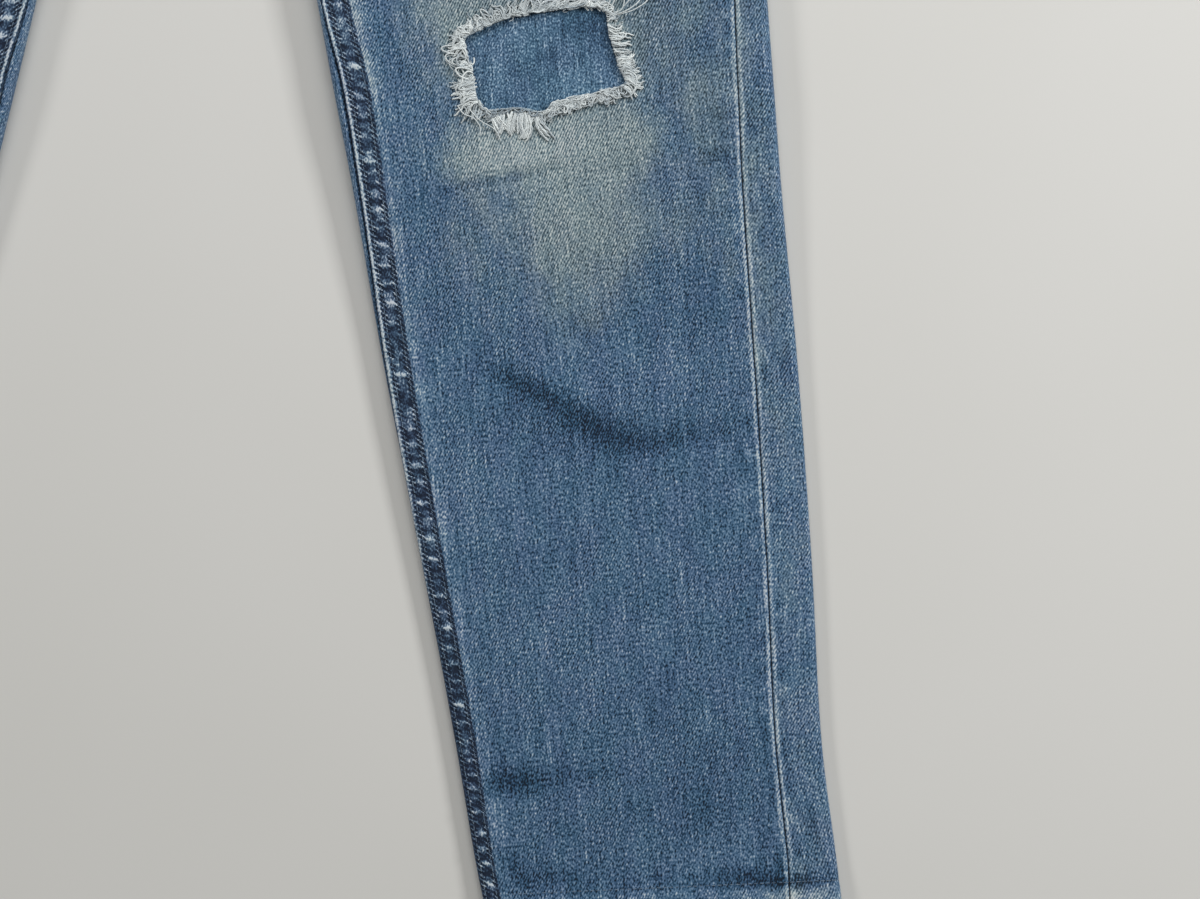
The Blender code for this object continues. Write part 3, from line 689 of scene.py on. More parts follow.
def front_row(place, side, at):
    """A row of a front, at distances round the cloth from the inner folded edge."""
    section = section_at(place)
    at = np.asarray(at, float)
    points, out = lie(section, side, at)
    across, down = side * points[:, 0], MID_DOWN - points[:, 1]
    near, far = at - section.inseam, scoop_edge(section) - at
    on_leg = float(smooth(SEAT_END, ROW_OF["crotch"], place))
    knee_marks, creases = (LEFT_KNEE_MARKS, LEFT_CREASES) if side > 0 else (RIGHT_KNEE_MARKS, RIGHT_CREASES)
    relief, = marks_at(creases, across, down, ["height"])
    # These marks hold wear and dust, and along the hem's upper edge painted shadow.
    worn, dusty = marks_at(knee_marks + THIGH_MARKS, across, down, ["worn", "dusty"])
    relief = relief * MM * smooth(8 * MM, 22 * MM, far) * smooth(8 * MM, 22 * MM, near)
    seam_relief, seam_worn, seam_dusty = outseam_look(far, down, 3 if side > 0 else 4, 0.88)
    # The hem adds its wear, and a painted shadow above its upper edge.
    hem_relief, hem_wear_and_shade, hem_dusty = hem_look(section, at)
    relief, worn, dusty = relief + seam_relief + hem_relief, worn + seam_worn + hem_wear_and_shade, \
        dusty + seam_dusty + hem_dusty

    # The felled seam lies on this edge; just past it the cloth is rubbed pale.
    width = fell_width(down)
    past = (near - width) / MM
    uneven = 0.85 + 0.35 * wander(down / MM / 7, seed=8)
    relief = relief + on_leg * MM * (0.30 * bell(past, 0.9, 0.9) - 0.45 * (1 - smooth(-2.5, 0, past)))
    pale = np.exp(-np.maximum(past, 0) / 3.7) * smooth(-0.6, 0.4, past) * uneven
    pale = pale * (0.74 - 0.36 * smooth(0.46, 0.60, down))
    worn, dusty = worn + on_leg * pale, dusty + on_leg * 0.48 * pale

    # The fly laps over, and a rubbed line follows its edge and the seat seam below it.
    if side > 0:
        high = 1 - smooth(FLY_END, FLY_END + 0.5, place)
        relief = relief + FLY_RISE * high * (1 - smooth(11 * MM, 15 * MM, near))
    edge = (1 - on_leg) * bell(near / MM, 0.8, 1.0)
    worn = worn + 0.4 * edge
    swell = wander(across / MM / 60, down / MM / 75, seed=5 + side) * smooth(6 * MM, 30 * MM, near)
    relief = relief + 0.22 * MM * swell * smooth(6 * MM, 30 * MM, far)
    return Sheet(points + out * relief[:, None], flat_of(section, side, at), worn, np.clip(dusty, 0, 1.3))


def front_columns(place, side, middle):
    """Distances round the cloth for a front's columns, close together by its seams."""
    section = section_at(place)
    start = section.inseam + SEAM
    if side > 0:
        start -= (FLY_LAP + SEAM) * (1 - float(smooth(FLY_END - 0.5, FLY_END, place)))
    end = scoop_edge(section)
    room = end - start
    near, far = FELL_EDGE_NEAR, OUTSEAM_EDGE_NEAR
    squeeze = min(1.0, 0.8 * room / (near[-1] + far[-1]))
    near, far = near * squeeze, far * squeeze
    return np.concatenate([start + near, spread(start + near[-1], end - far[-1], middle + 2)[1:-1],
                           end - far[::-1]])


def sides_of(ring):
    """The lengths between the points of a closed line."""
    return np.linalg.norm(np.diff(ring, axis=0, append=ring[:1]), axis=1)


def rip_points(count):
    """A smooth closed edge of the rip in plan: across, down, and the directions out of it."""
    size = len(RIP_EDGE)
    steps = np.linspace(0, size, 40 * size, endpoint=False)
    curve = through(np.array(RIP_EDGE, float), steps.astype(int) - 1, (steps % 1)[:, None])
    lengths = np.concatenate([[0], np.cumsum(sides_of(curve))])
    wanted = np.linspace(0, lengths[-1], count, endpoint=False)
    closed = np.vstack([curve, curve[:1]])
    local = np.stack([np.interp(wanted, lengths, closed[:, axis]) for axis in (0, 1)], axis=1)
    turn = np.array([[math.cos(RIP_LEAN), math.sin(RIP_LEAN)], [-math.sin(RIP_LEAN), math.cos(RIP_LEAN)]])
    plan = local @ turn * MM + np.array([RIP_CENTRE[0] * MM, MID_DOWN - RIP_CENTRE[1] * MM])
    ahead = np.roll(plan, -1, axis=0) - np.roll(plan, 1, axis=0)
    ahead /= np.linalg.norm(ahead, axis=1)[:, None]
    return plan, np.stack([-ahead[:, 1], ahead[:, 0]], axis=1)


def front_at(x, y):
    """A point of the left front over a place in plan, below the knee seams and well inside its edges."""
    down = MID_DOWN - y
    low, high = place_of(down - 0.01), place_of(down + 0.01)
    for _ in range(22):
        middle = (low + high) / 2
        section = section_at(middle)
        share = (x - section.inner) / (section.outer - section.inner)
        if section.front + (section.side - section.front) * share < down:
            low = middle
        else:
            high = middle
    section = section_at(low)
    row = front_row(low, 1, [x - section.inner - section.fold + inner_turn(section)])
    return row.points[0], row.flat[0], row.worn[0], row.dusty[0]


def make_front(name, side, step, middle, rip=False):
    """A front of the jeans."""
    waist = ROWS[ROW_OF["waist seam"]]
    scoop_end = [waist.side + SCOOP_DOWN * math.sin(math.pi / 2 * share) for share in spread(0.72, 1, 9)]
    places = places_between(1, LAST, step, scoop_end)
    sheet = join([front_row(place, side, front_columns(place, side, middle)) for place in places])
    missing = extra = None
    if rip:
        missing, extra = rip_open(sheet)
    piece = cloth_piece(f"{name}_cloth", sheet, DENIM, side, missing=missing, extra=extra)
    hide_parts(name)
    return piece


def rip_open(sheet):
    """Opens the rip in a sheet: which cells go, and the ring of cloth between them and the rip's edge."""
    rows, columns = sheet.points.shape[:2]
    edge, _ = rip_points(240)
    low, high = edge.min(0) - 7 * MM, edge.max(0) + 7 * MM
    x, y = sheet.points[..., 0], sheet.points[..., 1]
    inside = (x > low[0]) & (x < high[0]) & (y > low[1]) & (y < high[1])
    band = np.where(inside.any(axis=1))[0]
    first_row, last_row = band[0] - 1, band[-1] + 1
    lanes = np.where(inside[first_row + 1:last_row].any(axis=0))[0]
    first, last = lanes[0] - 1, lanes[-1] + 1
    missing = np.zeros((rows - 1, columns - 1), bool)
    missing[first_row:last_row, first:last] = True
    ring = [(first_row, column) for column in range(first, last)]
    ring += [(row, last) for row in range(first_row, last_row)]
    ring += [(last_row, column) for column in range(last, first, -1)]
    ring += [(row, first) for row in range(last_row, first_row, -1)]
    centre = edge.mean(0)
    angles = np.unwrap(np.arctan2(edge[:, 1] - centre[1], edge[:, 0] - centre[0]))
    order = np.argsort(angles)
    around = np.concatenate([angles[order], angles[order][:1] + 2 * math.pi])
    total = sides_of(edge).sum() / MM
    bared = np.interp(np.arange(len(edge)) / len(edge) * total, *zip(*BARE))[order]
    bared = np.append(bared, bared[0])
    turned = np.vstack([edge[order], edge[order][:1]])
    points, flats, worns, dusties = [], [], [], []
    layers = (0.30, 0.52, 0.70, 0.84, 0.94, 1.0)
    for depth in layers:
        for row, column in ring:
            start = sheet.points[row, column, :2]
            angle = math.atan2(start[1] - centre[1], start[0] - centre[0])
            while angle < around[0]:
                angle += 2 * math.pi
            while angle >= around[-1]:
                angle -= 2 * math.pi
            target = np.array([np.interp(angle, around, turned[:, axis]) for axis in (0, 1)])
            plan = start + (target - start) * depth
            point, flat, worn, dusty = front_at(*plan)
            gap = np.linalg.norm(target - plan) / MM
            lip = bell(gap, 0, 3.0)
            point = point + np.array([0, 0, (0.45 + 0.35 * noise.noise(point * 260)) * lip * MM])
            points.append(point)
            flats.append(flat)
            bare = float(np.interp(angle, around, bared))
            worns.append(worn + (1.25 * bare - 0.3) * bell(gap, 0, 2.2 + 1.8 * bare))
            dusties.append(dusty + 0.8 * bell(gap, 0, 6))
    count, start = len(ring), rows * columns
    rings = [[row * columns + column for row, column in ring]]
    rings += [[start + layer * count + index for index in range(count)] for layer in range(len(layers))]
    faces = []
    for outer, inner in zip(rings, rings[1:]):
        for index in range(count):
            beside = (index + 1) % count
            faces.append((outer[index], inner[index], inner[beside], outer[beside]))
    more = Sheet(np.array(points), np.array(flats), np.array(worns), np.array(dusties))
    return missing, (more, faces)


def back_row(place, side, at):
    """A row of a back: the strip beside the outseam, the outer fold, the underside, the inner fold."""
    section = section_at(place)
    at = np.asarray(at, float)
    points, out = lie(section, side, at)
    across, down = side * points[:, 0], MID_DOWN - points[:, 1]
    half = half_loop(section)
    from_outseam = at - (half - section.outseam)
    from_inseam = 2 * half + section.inseam - at
    under = smooth(0.2, 0.9, -out[:, 2])
    relief, = marks_at(BACK_CREASES, across, down, ["height"])
    worn, dusty = marks_at(SEAT_MARKS, across, down, ["worn", "dusty"])
    # Underneath, the cloth only draws in from the surface that it lies on.
    relief, worn, dusty = np.minimum(relief * MM, 0) * under, worn * under, dusty * under
    seam_relief, seam_worn, seam_dusty = outseam_look(from_outseam, down, 5 if side > 0 else 6, 0.56)
    # The hem adds its wear, and a painted shadow above its upper edge.
    hem_relief, hem_wear_and_shade, hem_dusty = hem_look(section, -at)
    relief = relief + seam_relief + np.where(under > 0.5, np.minimum(hem_relief, 0), hem_relief)
    top = smooth(0.3, 0.9, out[:, 2]) * (from_outseam < 60 * MM)
    marks = LEFT_KNEE_MARKS if side > 0 else RIGHT_KNEE_MARKS
    # The leg's marks reach onto this strip: wear, and along the hem's upper edge painted shadow.
    strip_wear_and_shade, strip_dusty = marks_at(marks, across, down, ["worn", "dusty"])
    worn = worn + seam_worn + hem_wear_and_shade + (-0.02 + 0.14 * smooth(0.42, 0.56, down) + strip_wear_and_shade) * top
    dusty = dusty + seam_dusty + hem_dusty + (strip_dusty + 0.27 - 0.05 * smooth(0.38, 0.6, down)) * top
    # Folded edges are rubbed a little paler than the flat cloth.
    rubbed = smooth(0.25, 0.8, np.abs(out[:, 0])) * (0.6 + 0.5 * wander(down / MM / 12, seed=9 + side))
    worn = worn + 0.16 * rubbed
    s = from_inseam / MM
    if place >= SEAT_END:
        worn = worn - 0.8 * bell(s, 0, 0.6) + 0.14 * bell(s, 0, 9) * (1 - smooth(0.39, 0.44, down))
        worn = worn - 0.40 * bell(s, 0, 5) * smooth(0.41, 0.45, down) * (1 - smooth(0.52, 0.56, down))
        relief = relief - 0.6 * MM * bell(s, 0, 0.6)
    return Sheet(points + out * relief[:, None], flat_of(section, side, at, from_back=True), worn,
                 np.clip(dusty, 0, 1.3))


INSEAM_COLUMNS = 12


def back_columns(place, middle):
    """Distances round the cloth for a back's columns."""
    section = section_at(place)
    half = half_loop(section)
    fold = quarter(section.height / 2, section.height / 2)
    inner_fold = max(SEAM, inner_turn(section))
    start, end = half - section.outseam + SEAM, 2 * half + section.inseam - SEAM
    squeeze = min(1.0, (section.outseam - fold) / OUTSEAM_EDGE_NEAR[-1] * 0.98)
    strip = start + OUTSEAM_EDGE_NEAR * squeeze
    strip = np.concatenate([strip, spread(strip[-1], half - fold, 4)[1:]])
    turn = spread(half - fold, half + fold, 7)[1:]
    under = spread(half + fold, 2 * half - inner_fold, middle)[1:]
    return np.concatenate([strip, turn, under, spread(2 * half - inner_fold, end, INSEAM_COLUMNS)[1:]])


def make_back(name, side, start, end, step, middle):
    """A back or a yoke. Above the crotch it stops at the seat seam; below it wraps round to the inseam."""
    crotch = ROW_OF["crotch"]
    places = places_between(start, min(end, SEAT_END), step)
    if end > crotch:
        places += places_between(crotch, end, step)
    sheet = join([back_row(place, side, back_columns(place, middle)) for place in places])
    rows, columns = sheet.points.shape[:2]
    missing = np.zeros((rows - 1, columns - 1), bool)
    missing[[place < crotch for place in places[:-1]], columns - INSEAM_COLUMNS:] = True
    piece = cloth_piece(f"{name}_cloth", sheet, DENIM, side, missing=missing)
    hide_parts(name)
    return piece


FELL_SHARES = (0, 0.012, 0.03, 0.055, 0.085, 0.115, 0.145, 0.175, 0.2, 0.23, 0.26, 0.29, 0.32, 0.36, 0.41,
               0.46, 0.51, 0.56, 0.61, 0.66, 0.7, 0.74, 0.78, 0.82, 0.86, 0.9, 0.94, 0.97, 1)
FELL_STITCHES = (0.27, 0.82)


def fell_row(place, side, share):
    """A row of the felled inseam, at shares of its width: its folded edge is rubbed to a pale ridge, its two
    rows of stitches bite into it, and between them it puckers, worn here and there on top."""
    section = section_at(place)
    share = np.asarray(share, float)
    width = float(fell_width(section.front))
    at = section.inseam + SEAM + share * width
    points, out = lie(section, side, at)
    mm, across = section.front / MM, share * width / MM
    slow = noise.noise((mm / 23, side, 0.3))
    low = float(smooth(400, 620, mm))
    rubbed = 1.0 - 0.85 * float(smooth(530, 625, mm))
    pucker = np.array([noise.noise((mm / 3.2, one / 5 + 9 * side, 2.2)) for one in across])
    # The seam ropes: between its rows it rises every so often to a short bar, rubbed pale.
    beat = mm / 8.7 + 0.55 * noise.noise((mm / 19, 3.0 + side, 0.0))
    bold = 0.45 + 0.55 * low + 0.9 * (1 - 0.6 * low) * noise.noise((math.floor(beat) * 3.7, 5.0 + side, 8.8))
    bar = max(0.0, bold) * bell(beat % 1, 0.5, 0.13)
    between = smooth(0.20, 0.32, share) * (1 - smooth(0.76, 0.88, share))
    height = 0.30 + 0.75 * rubbed * bell(across, 1.3, 1.1) - 0.30 * smooth(0.92, 1.0, share) \
        + (0.30 * pucker + 0.32 * bar) * between
    worn = rubbed * 1.35 * bell(across, 1.3, 0.85) * (1.0 + 0.2 * noise.noise((mm / 3, 1.0, 5.5)))
    worn = worn + 0.5 * bell(share, 0.98, 0.03) * (0.7 + 0.9 * noise.noise((mm / 4, 4.0, 1.5)))
    worn = worn + 1.3 * pucker * between - 1.4 * bell(across, 0, 0.35) * rubbed - 0.04 - 0.30 * low
    for row, lean, pitch in zip(FELL_STITCHES, (0.7, 0.9), (2.35, 2.5)):
        near = (share - row) * width / MM
        jitter = np.array([noise.noise((mm / 2.6, one / 3, 11.0 + 5 * row)) for one in across])
        turns = (mm - lean * near + 0.5 * jitter + 0.5 * slow) / pitch
        # Each stitch bites as hard as it happens to.
        bites = np.array([1.0 + 1.3 * noise.noise((math.floor(one + 0.5) * 3.7, row * 9, 1.1))
                          for one in turns])
        slots = 0.5 + 0.5 * np.cos(2 * math.pi * turns)
        bite = np.clip(bites, 0.15, 1.6) * bell(near, 0, 1.45)
        worn = worn - 3.0 * bite * slots ** 1.4 + 0.9 * bite * (1 - slots) ** 2
        height = height - 0.5 * bite * slots
    worn = worn + (1.5 - 0.5 * low) * bar * between
    dusty = 0.35 * rubbed * bell(across, 1.45, 0.9) + 0.25 * bar * between
    return Sheet(points + out * (height * MM)[:, None], flat_of(section, side, at), worn, dusty)


def make_fell(name, side, step):
    """The felled inseam: the front's edge folded over the back's and sewn twice."""
    rows = [fell_row(place, side, FELL_SHARES) for place in places_between(ROW_OF["crotch"], LAST, step)]
    return cloth_piece(name, join(rows), SEAM_DENIM, side, thickness=FELL_THICK)


# -------------------- hems, waistband, loops, pockets, facings and patch

def formed(name, sheet, material, side, thickness, closed=False, rounded=0.0):
    """A cloth piece of several layers, whose edges may be rounded."""
    piece = cloth_piece(f"{name}_cloth", sheet, material, side, thickness, closed)
    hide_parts(name)
    if rounded:
        edge = piece.modifiers.new("rounded edge", "BEVEL")
        edge.width, edge.segments, edge.limit_method = rounded, 2, "ANGLE"
        edge.angle_limit = math.radians(50)
    return piece


HEM_DEPTH = 20 * MM
HEM_INSET = 1.9 * MM


def make_hem(name, side):
    """The turned-up hem: its allowance inside the leg, and the fold that shows at the leg's end."""
    rows = []
    last = ROWS[LAST]
    span = last.front - ROWS[LAST - 1].front
    profile = [(HEM_DEPTH * share, HEM_INSET) for share in (1, 0.8, 0.6, 0.4, 0.2)]
    profile += [(HEM_INSET / 2 * (1 - math.sin(turn)), HEM_INSET / 2 * (1 + math.cos(turn)))
                for turn in np.linspace(0, math.pi * 0.94, 8)]
    half = half_loop(last)
    over = spread(0, 2 * half, 121)[:-1]
    for up, inset in profile:
        place = LAST - up / span
        section = section_at(place)
        at = over * half_loop(section) / half
        points, out = lie(section, side, at)
        worn = np.full_like(at, 0.45 if inset < HEM_INSET * 0.6 else 0.0)
        flat = np.stack([side * at, np.full_like(at, up - inset)], axis=1)
        rows.append(Sheet(points - out * inset, flat, worn, 0.3 * worn))
    return formed(name, join(rows), INSIDE_DENIM, -side, HEM_THICK, closed=True)


BAND_MM, BAND_THICK = 38, 2.1 * MM
# The waistband stops this short of the panels' top edges, as a share of its height.
BAND_END = 0.994
BAND_PROUD, BAND_RAISE, BAND_SINK = 0.5 * MM, 1.5 * MM, 1.0 * MM
BAND_UNDERLAP = 26 * MM
BAND_ROWS = (0, 0.015, 0.035, 0.06, 0.1, 0.17, 0.26, 0.36, 0.48, 0.6, 0.7, 0.8, 0.88, 0.93, 0.96, 0.985, 1)


def band_row(place, side, at):
    """A row of one half of the waistband, firm and a little full between its two rows of stitches."""
    section = section_at(place)
    at = np.asarray(at, float)
    points, out = lie(section, side, at)
    lap = (1 - smooth(40 * MM, 62 * MM, at)) * (BAND_RAISE if side > 0 else -BAND_SINK)
    across = place * BAND_MM
    edge = min(across, BAND_MM - across)
    groove = bell(edge, 2.2, 0.6)
    puckers = wander(at / MM / 7, across / 30, seed=51)
    relief = BAND_PROUD / MM - 0.25 * groove - 0.25 * bell(edge, 0, 0.5) + 0.12 * puckers
    relief = np.where(out[:, 2] < 0, np.minimum(relief, BAND_PROUD / MM), relief)
    worn = 0.55 * bell(edge, 0, 0.9) - 0.15 * groove + 0.10 * puckers
    points = points + out * (relief * MM)[:, None] + np.stack([0 * at, 0 * at, lap], axis=1)
    run = side * (2 * half_loop(section) - at)
    return Sheet(points, np.stack([np.full_like(at, (BAND_MM - across) * MM), run], axis=1),
                 np.broadcast_to(worn, at.shape), np.full_like(at, 0.15 * bell(edge, 0, 1.5)))


def make_waistband():
    """One strip from the button end, round the back to the buttonhole end, which laps over."""
    rows = []
    for place in BAND_ROWS:
        place *= BAND_END
        section = section_at(place)
        half, fold = half_loop(section), quarter(section.height / 2, section.height / 2)
        both = []
        for side, start in ((-1, -BAND_UNDERLAP), (1, -FLY_LAP)):
            at = np.concatenate([start + np.array([0, 0.5, 1.2, 2.2, 3.6, 6]) * MM,
                                 spread(start + 9 * MM, half - fold, 48),
                                 spread(half - fold, half + fold, 9)[1:],
                                 spread(half + fold, 2 * half, 46)[1:]])
            both.append(band_row(place, side, at))
        rows.append(Sheet(*(np.concatenate([right, left[-2::-1]]) for right, left in zip(*both))))
    return formed("waistband", join(rows), DENIM, -1, BAND_THICK, rounded=0.4 * MM)


LOOP_WIDTH, LOOP_THICK, LOOP_MM = 11 * MM, 1.6 * MM, 49
LOOP_ACROSS = 106 * MM
# How far a loop reaches above the waistband, in millimetres.
LOOP_ABOVE = 2
CLEAR = 0.3 * MM


def loop_row(across, on_front, share, columns):
    """A row of a belt loop, from above the waistband to the tack below it."""
    side, up = (-1 if across < 0 else 1), (1 if on_front else -1)
    below = share * LOOP_MM - LOOP_ABOVE
    place = min(1.0, max(0.0, below / BAND_MM))
    reach = (below - place * BAND_MM) * MM
    section = section_at(place)
    at = abs(across) if on_front else 2 * half_loop(section) - abs(across)
    points, _ = lie(section, side, [at])
    drop = 0.4 * float(smooth(0.84, 0.95, share)) + (0.35 if share in (0, 1) else 0)
    fall = 0.3 * np.abs(columns) ** 6 + 0.18 * bell(np.abs(columns), 0.62, 0.1)
    height = points[0, 2] + up * (BAND_PROUD + CLEAR + LOOP_THICK - (drop + fall) * MM)
    x = points[0, 0] + up * columns * LOOP_WIDTH / 2
    worn = 0.6 * np.abs(columns) ** 8 + 0.25 * noise.noise((across * 90, share * 9, 2.0)) + 0.1
    return Sheet(np.stack([x, np.full_like(x, points[0, 1] - reach), height], axis=1),
                 np.stack([x, np.full_like(x, -share * LOOP_MM * MM)], axis=1), worn, 0.2 * worn)


def make_belt_loop(name, across, on_front):
    """A folded strip with two rows of stitches, tacked above and below the waistband."""
    columns = np.array([-1, -0.9, -0.75, -0.62, -0.5, -0.2, 0, 0.2, 0.5, 0.62, 0.75, 0.9, 1])
    rows = [loop_row(across, on_front, share, columns) for share in spread(0, 1, 26)]
    return formed(name, join(rows), DENIM, 1, LOOP_THICK, rounded=0.3 * MM)


# A back pocket in millimetres: half its width at the mouth and low down, its sides, its length and its hem.
POCKET_MOUTH, POCKET_LOW, POCKET_SIDES, POCKET_LONG, POCKET_HEM = 71, 60, 128, 148, 13
POCKET_ACROSS, POCKET_TOP_DOWN = 112, -152
POCKET_TILT = math.radians(2.5)


def pocket_point(side, across, below, up=0.0):
    """A point of a back pocket, from distances in millimetres across and below the middle of its top edge."""
    x = POCKET_ACROSS + across * math.cos(POCKET_TILT) + below * math.sin(POCKET_TILT)
    down = POCKET_TOP_DOWN + below * math.cos(POCKET_TILT) - across * math.sin(POCKET_TILT)
    return side * x * MM, MID_DOWN - down * MM, up


def make_back_pocket(name, side):
    """A patch pocket on the underside of the seat, its edges turned in and its mouth hemmed."""
    rows = []
    lanes = np.array([-1, -0.985, -0.96, -0.9, *np.linspace(-0.8, 0.8, 22), 0.9, 0.96, 0.985, 1])
    for below in (0, 1, 2.5, 5, 8, 11, 13, 15, *range(20, 124, 6), 124, 128, *range(131, 146, 3), 147):
        wide = np.interp(below, (0, POCKET_SIDES, POCKET_LONG), (POCKET_MOUTH, POCKET_LOW, 0.8))
        across = lanes * wide
        edge = np.minimum(wide - np.abs(across), np.minimum(below, POCKET_LONG - below))
        rise = 0.12 * bell(edge, 2.2, 0.7) + 0.12 * bell(edge, 8, 0.7) \
            + 0.3 * np.exp(-edge / 0.6) + 0.1 * bell(below, POCKET_HEM, 1.0)
        points = np.array([pocket_point(side, one, below, high * MM) for one, high in zip(across, rise)])
        flat = np.stack([-side * across * MM, np.full_like(across, -below * MM)], axis=1)
        worn = 0.35 * bell(edge, 0.6, 0.8) + 0.12 * wander(across / 25, below / 25, seed=61) + 0.08
        rows.append(Sheet(points, flat, worn, 0.25 * worn))
    return formed(name, join(rows), DENIM, -side, POCKET_THICK)


FACING_WIDTH, FACING_ROW = 90 * MM, 3.15


def make_facing(name, side):
    """The denim behind a front pocket's scoop."""
    rows = []
    for place in places_between(1.004, FACING_ROW, 4 * MM):
        section = section_at(place)
        end = half_loop(section) - section.outseam - SEAM
        at = spread(end - FACING_WIDTH, end, 30)
        points, out = lie(section, side, at)
        down = MID_DOWN - points[:, 1]
        relief = 0.12 * (wander(points[:, 0] * 30, down * 30, seed=71) - 1)
        worn = 0.12 * wander(points[:, 0] * 60, down * 60, seed=72)
        rows.append(Sheet(points - out * ((CLOTH + CLEAR) - relief * MM)[:, None],
                          flat_of(section, side, at), worn, 0 * worn))
    return formed(name, join(rows), INSIDE_DENIM, side, CLOTH)


PATCH_HALF = (55 * MM, 40 * MM)
PATCH_UP = ROWS[ROW_OF["rip"]].height / MM - 1.65
# Marks on the patch: pale ones are wear, dark ones painted shadow in its wrinkles and under the rip's edge.
PATCH_WEAR_AND_SHADE = [Mark(*row) for row in (
    (196, 305, 15, 8, 0, -0.42, 0.00),
    (210, 312, 7, 12, 0, -0.20, 0.00),
    (179, 320, 6, 4, 20, -0.36, 0.00),
    (169, 328, 9, 7, 30, -0.20, 0.00),
    (150, 316, 12, 16, 0, 0.08, 0.05),
    (176, 330, 26, 7, 30, 0.10, 0.04),
    (190, 322, 26, 3, 34, -0.22, 0.00),
    (158, 342, 20, 5, 10, -0.08, 0.00),
    (197, 338, 14, 8, 30, 0.08, 0.00),
)]


def make_patch():
    """The patch behind the rip, a little slack and wrinkled where it shows; its dark marks are painted
    shadow.
    """
    rows = []
    for below in np.linspace(-1, 1, 70):
        x, y = np.linspace(-1, 1, 96) * PATCH_HALF[0], -below * PATCH_HALF[1] * np.ones(96)
        across = RIP_CENTRE[0] * MM + x * math.cos(RIP_LEAN) - y * math.sin(RIP_LEAN)
        up = MID_DOWN - RIP_CENTRE[1] * MM + x * math.sin(RIP_LEAN) + y * math.cos(RIP_LEAN)
        open_part = smooth(42, 28, np.abs(x) / MM) * smooth(28, 14, np.abs(y) / MM)
        wrinkles = 0.22 * wander((across + up) / MM / 16, (up - across) / MM / 45, seed=81) \
            + 0.10 * wander(across / MM / 7, up / MM / 12, seed=82)
        height = PATCH_UP + open_part * (0.65 + wrinkles)
        # The dark marks put painted shadow into worn; the pale ones are wear.
        worn, dusty = marks_at(PATCH_WEAR_AND_SHADE, across, MID_DOWN - up, ["worn", "dusty"])
        turn = GRAIN_TURN - 0.03
        flat = np.stack([across * math.cos(turn) + up * math.sin(turn),
                         up * math.cos(turn) - across * math.sin(turn)], axis=1)
        rows.append(Sheet(np.stack([across, up, height * MM], axis=1), flat, worn, dusty))
    return formed("knee_patch", join(rows), PATCH_DENIM, 1, CLOTH)


# -------------------- Geometry Nodes: yarns and stitches

def new_tree(name, sizes):
    """A Geometry Nodes tree with named inputs, and its input and output nodes."""
    tree = bpy.data.node_groups.new(name, "GeometryNodeTree")
    tree.interface.new_socket("Geometry", in_out="INPUT", socket_type="NodeSocketGeometry")
    for size, kind in sizes:
        tree.interface.new_socket(size, in_out="INPUT", socket_type=kind)
    tree.interface.new_socket("Geometry", in_out="OUTPUT", socket_type="NodeSocketGeometry")
    return tree, add(tree, "NodeGroupInput").outputs


def end_tree(tree, geometry, material):
    """Ends a tree: instances made real, and the material set."""
    real = add(tree, "GeometryNodeRealizeInstances", {"Geometry": geometry}).outputs["Geometry"]
    smooth_shaded = add(tree, "GeometryNodeSetShadeSmooth", {"Geometry": real}).outputs["Geometry"]
    made = add(tree, "GeometryNodeSetMaterial", {"Geometry": smooth_shaded, "Material": material})
    add(tree, "NodeGroupOutput", {"Geometry": made.outputs["Geometry"]})
    return tree


def yarn_tree(material):
    """Round yarns along lines: each point has its thickness."""
    tree, inputs = new_tree("yarns", [("Sides", "NodeSocketInt"), ("Thickness", "NodeSocketFloat")])
    lines = add(tree, "GeometryNodeMeshToCurve", {"Mesh": inputs["Geometry"]}).outputs["Curve"]
    own = add(tree, "GeometryNodeInputNamedAttribute", {"Name": "thickness"}, data_type="FLOAT")
    radius = add(tree, "ShaderNodeMath", {0: own.outputs["Attribute"], 1: inputs["Thickness"]},
                 operation="MULTIPLY").outputs[0]
    lines = add(tree, "GeometryNodeSetCurveRadius", {"Curve": lines, "Radius": radius}).outputs["Curve"]
    ring = add(tree, "GeometryNodeCurvePrimitiveCircle", {"Resolution": inputs["Sides"], "Radius": 1.0})
    scale = add(tree, "GeometryNodeInputRadius").outputs["Radius"]
    yarns = add(tree, "GeometryNodeCurveToMesh", {"Curve": lines, "Profile Curve": ring.outputs["Curve"],
                                                  "Scale": scale, "Fill Caps": True})
    return end_tree(tree, yarns.outputs["Mesh"], material)


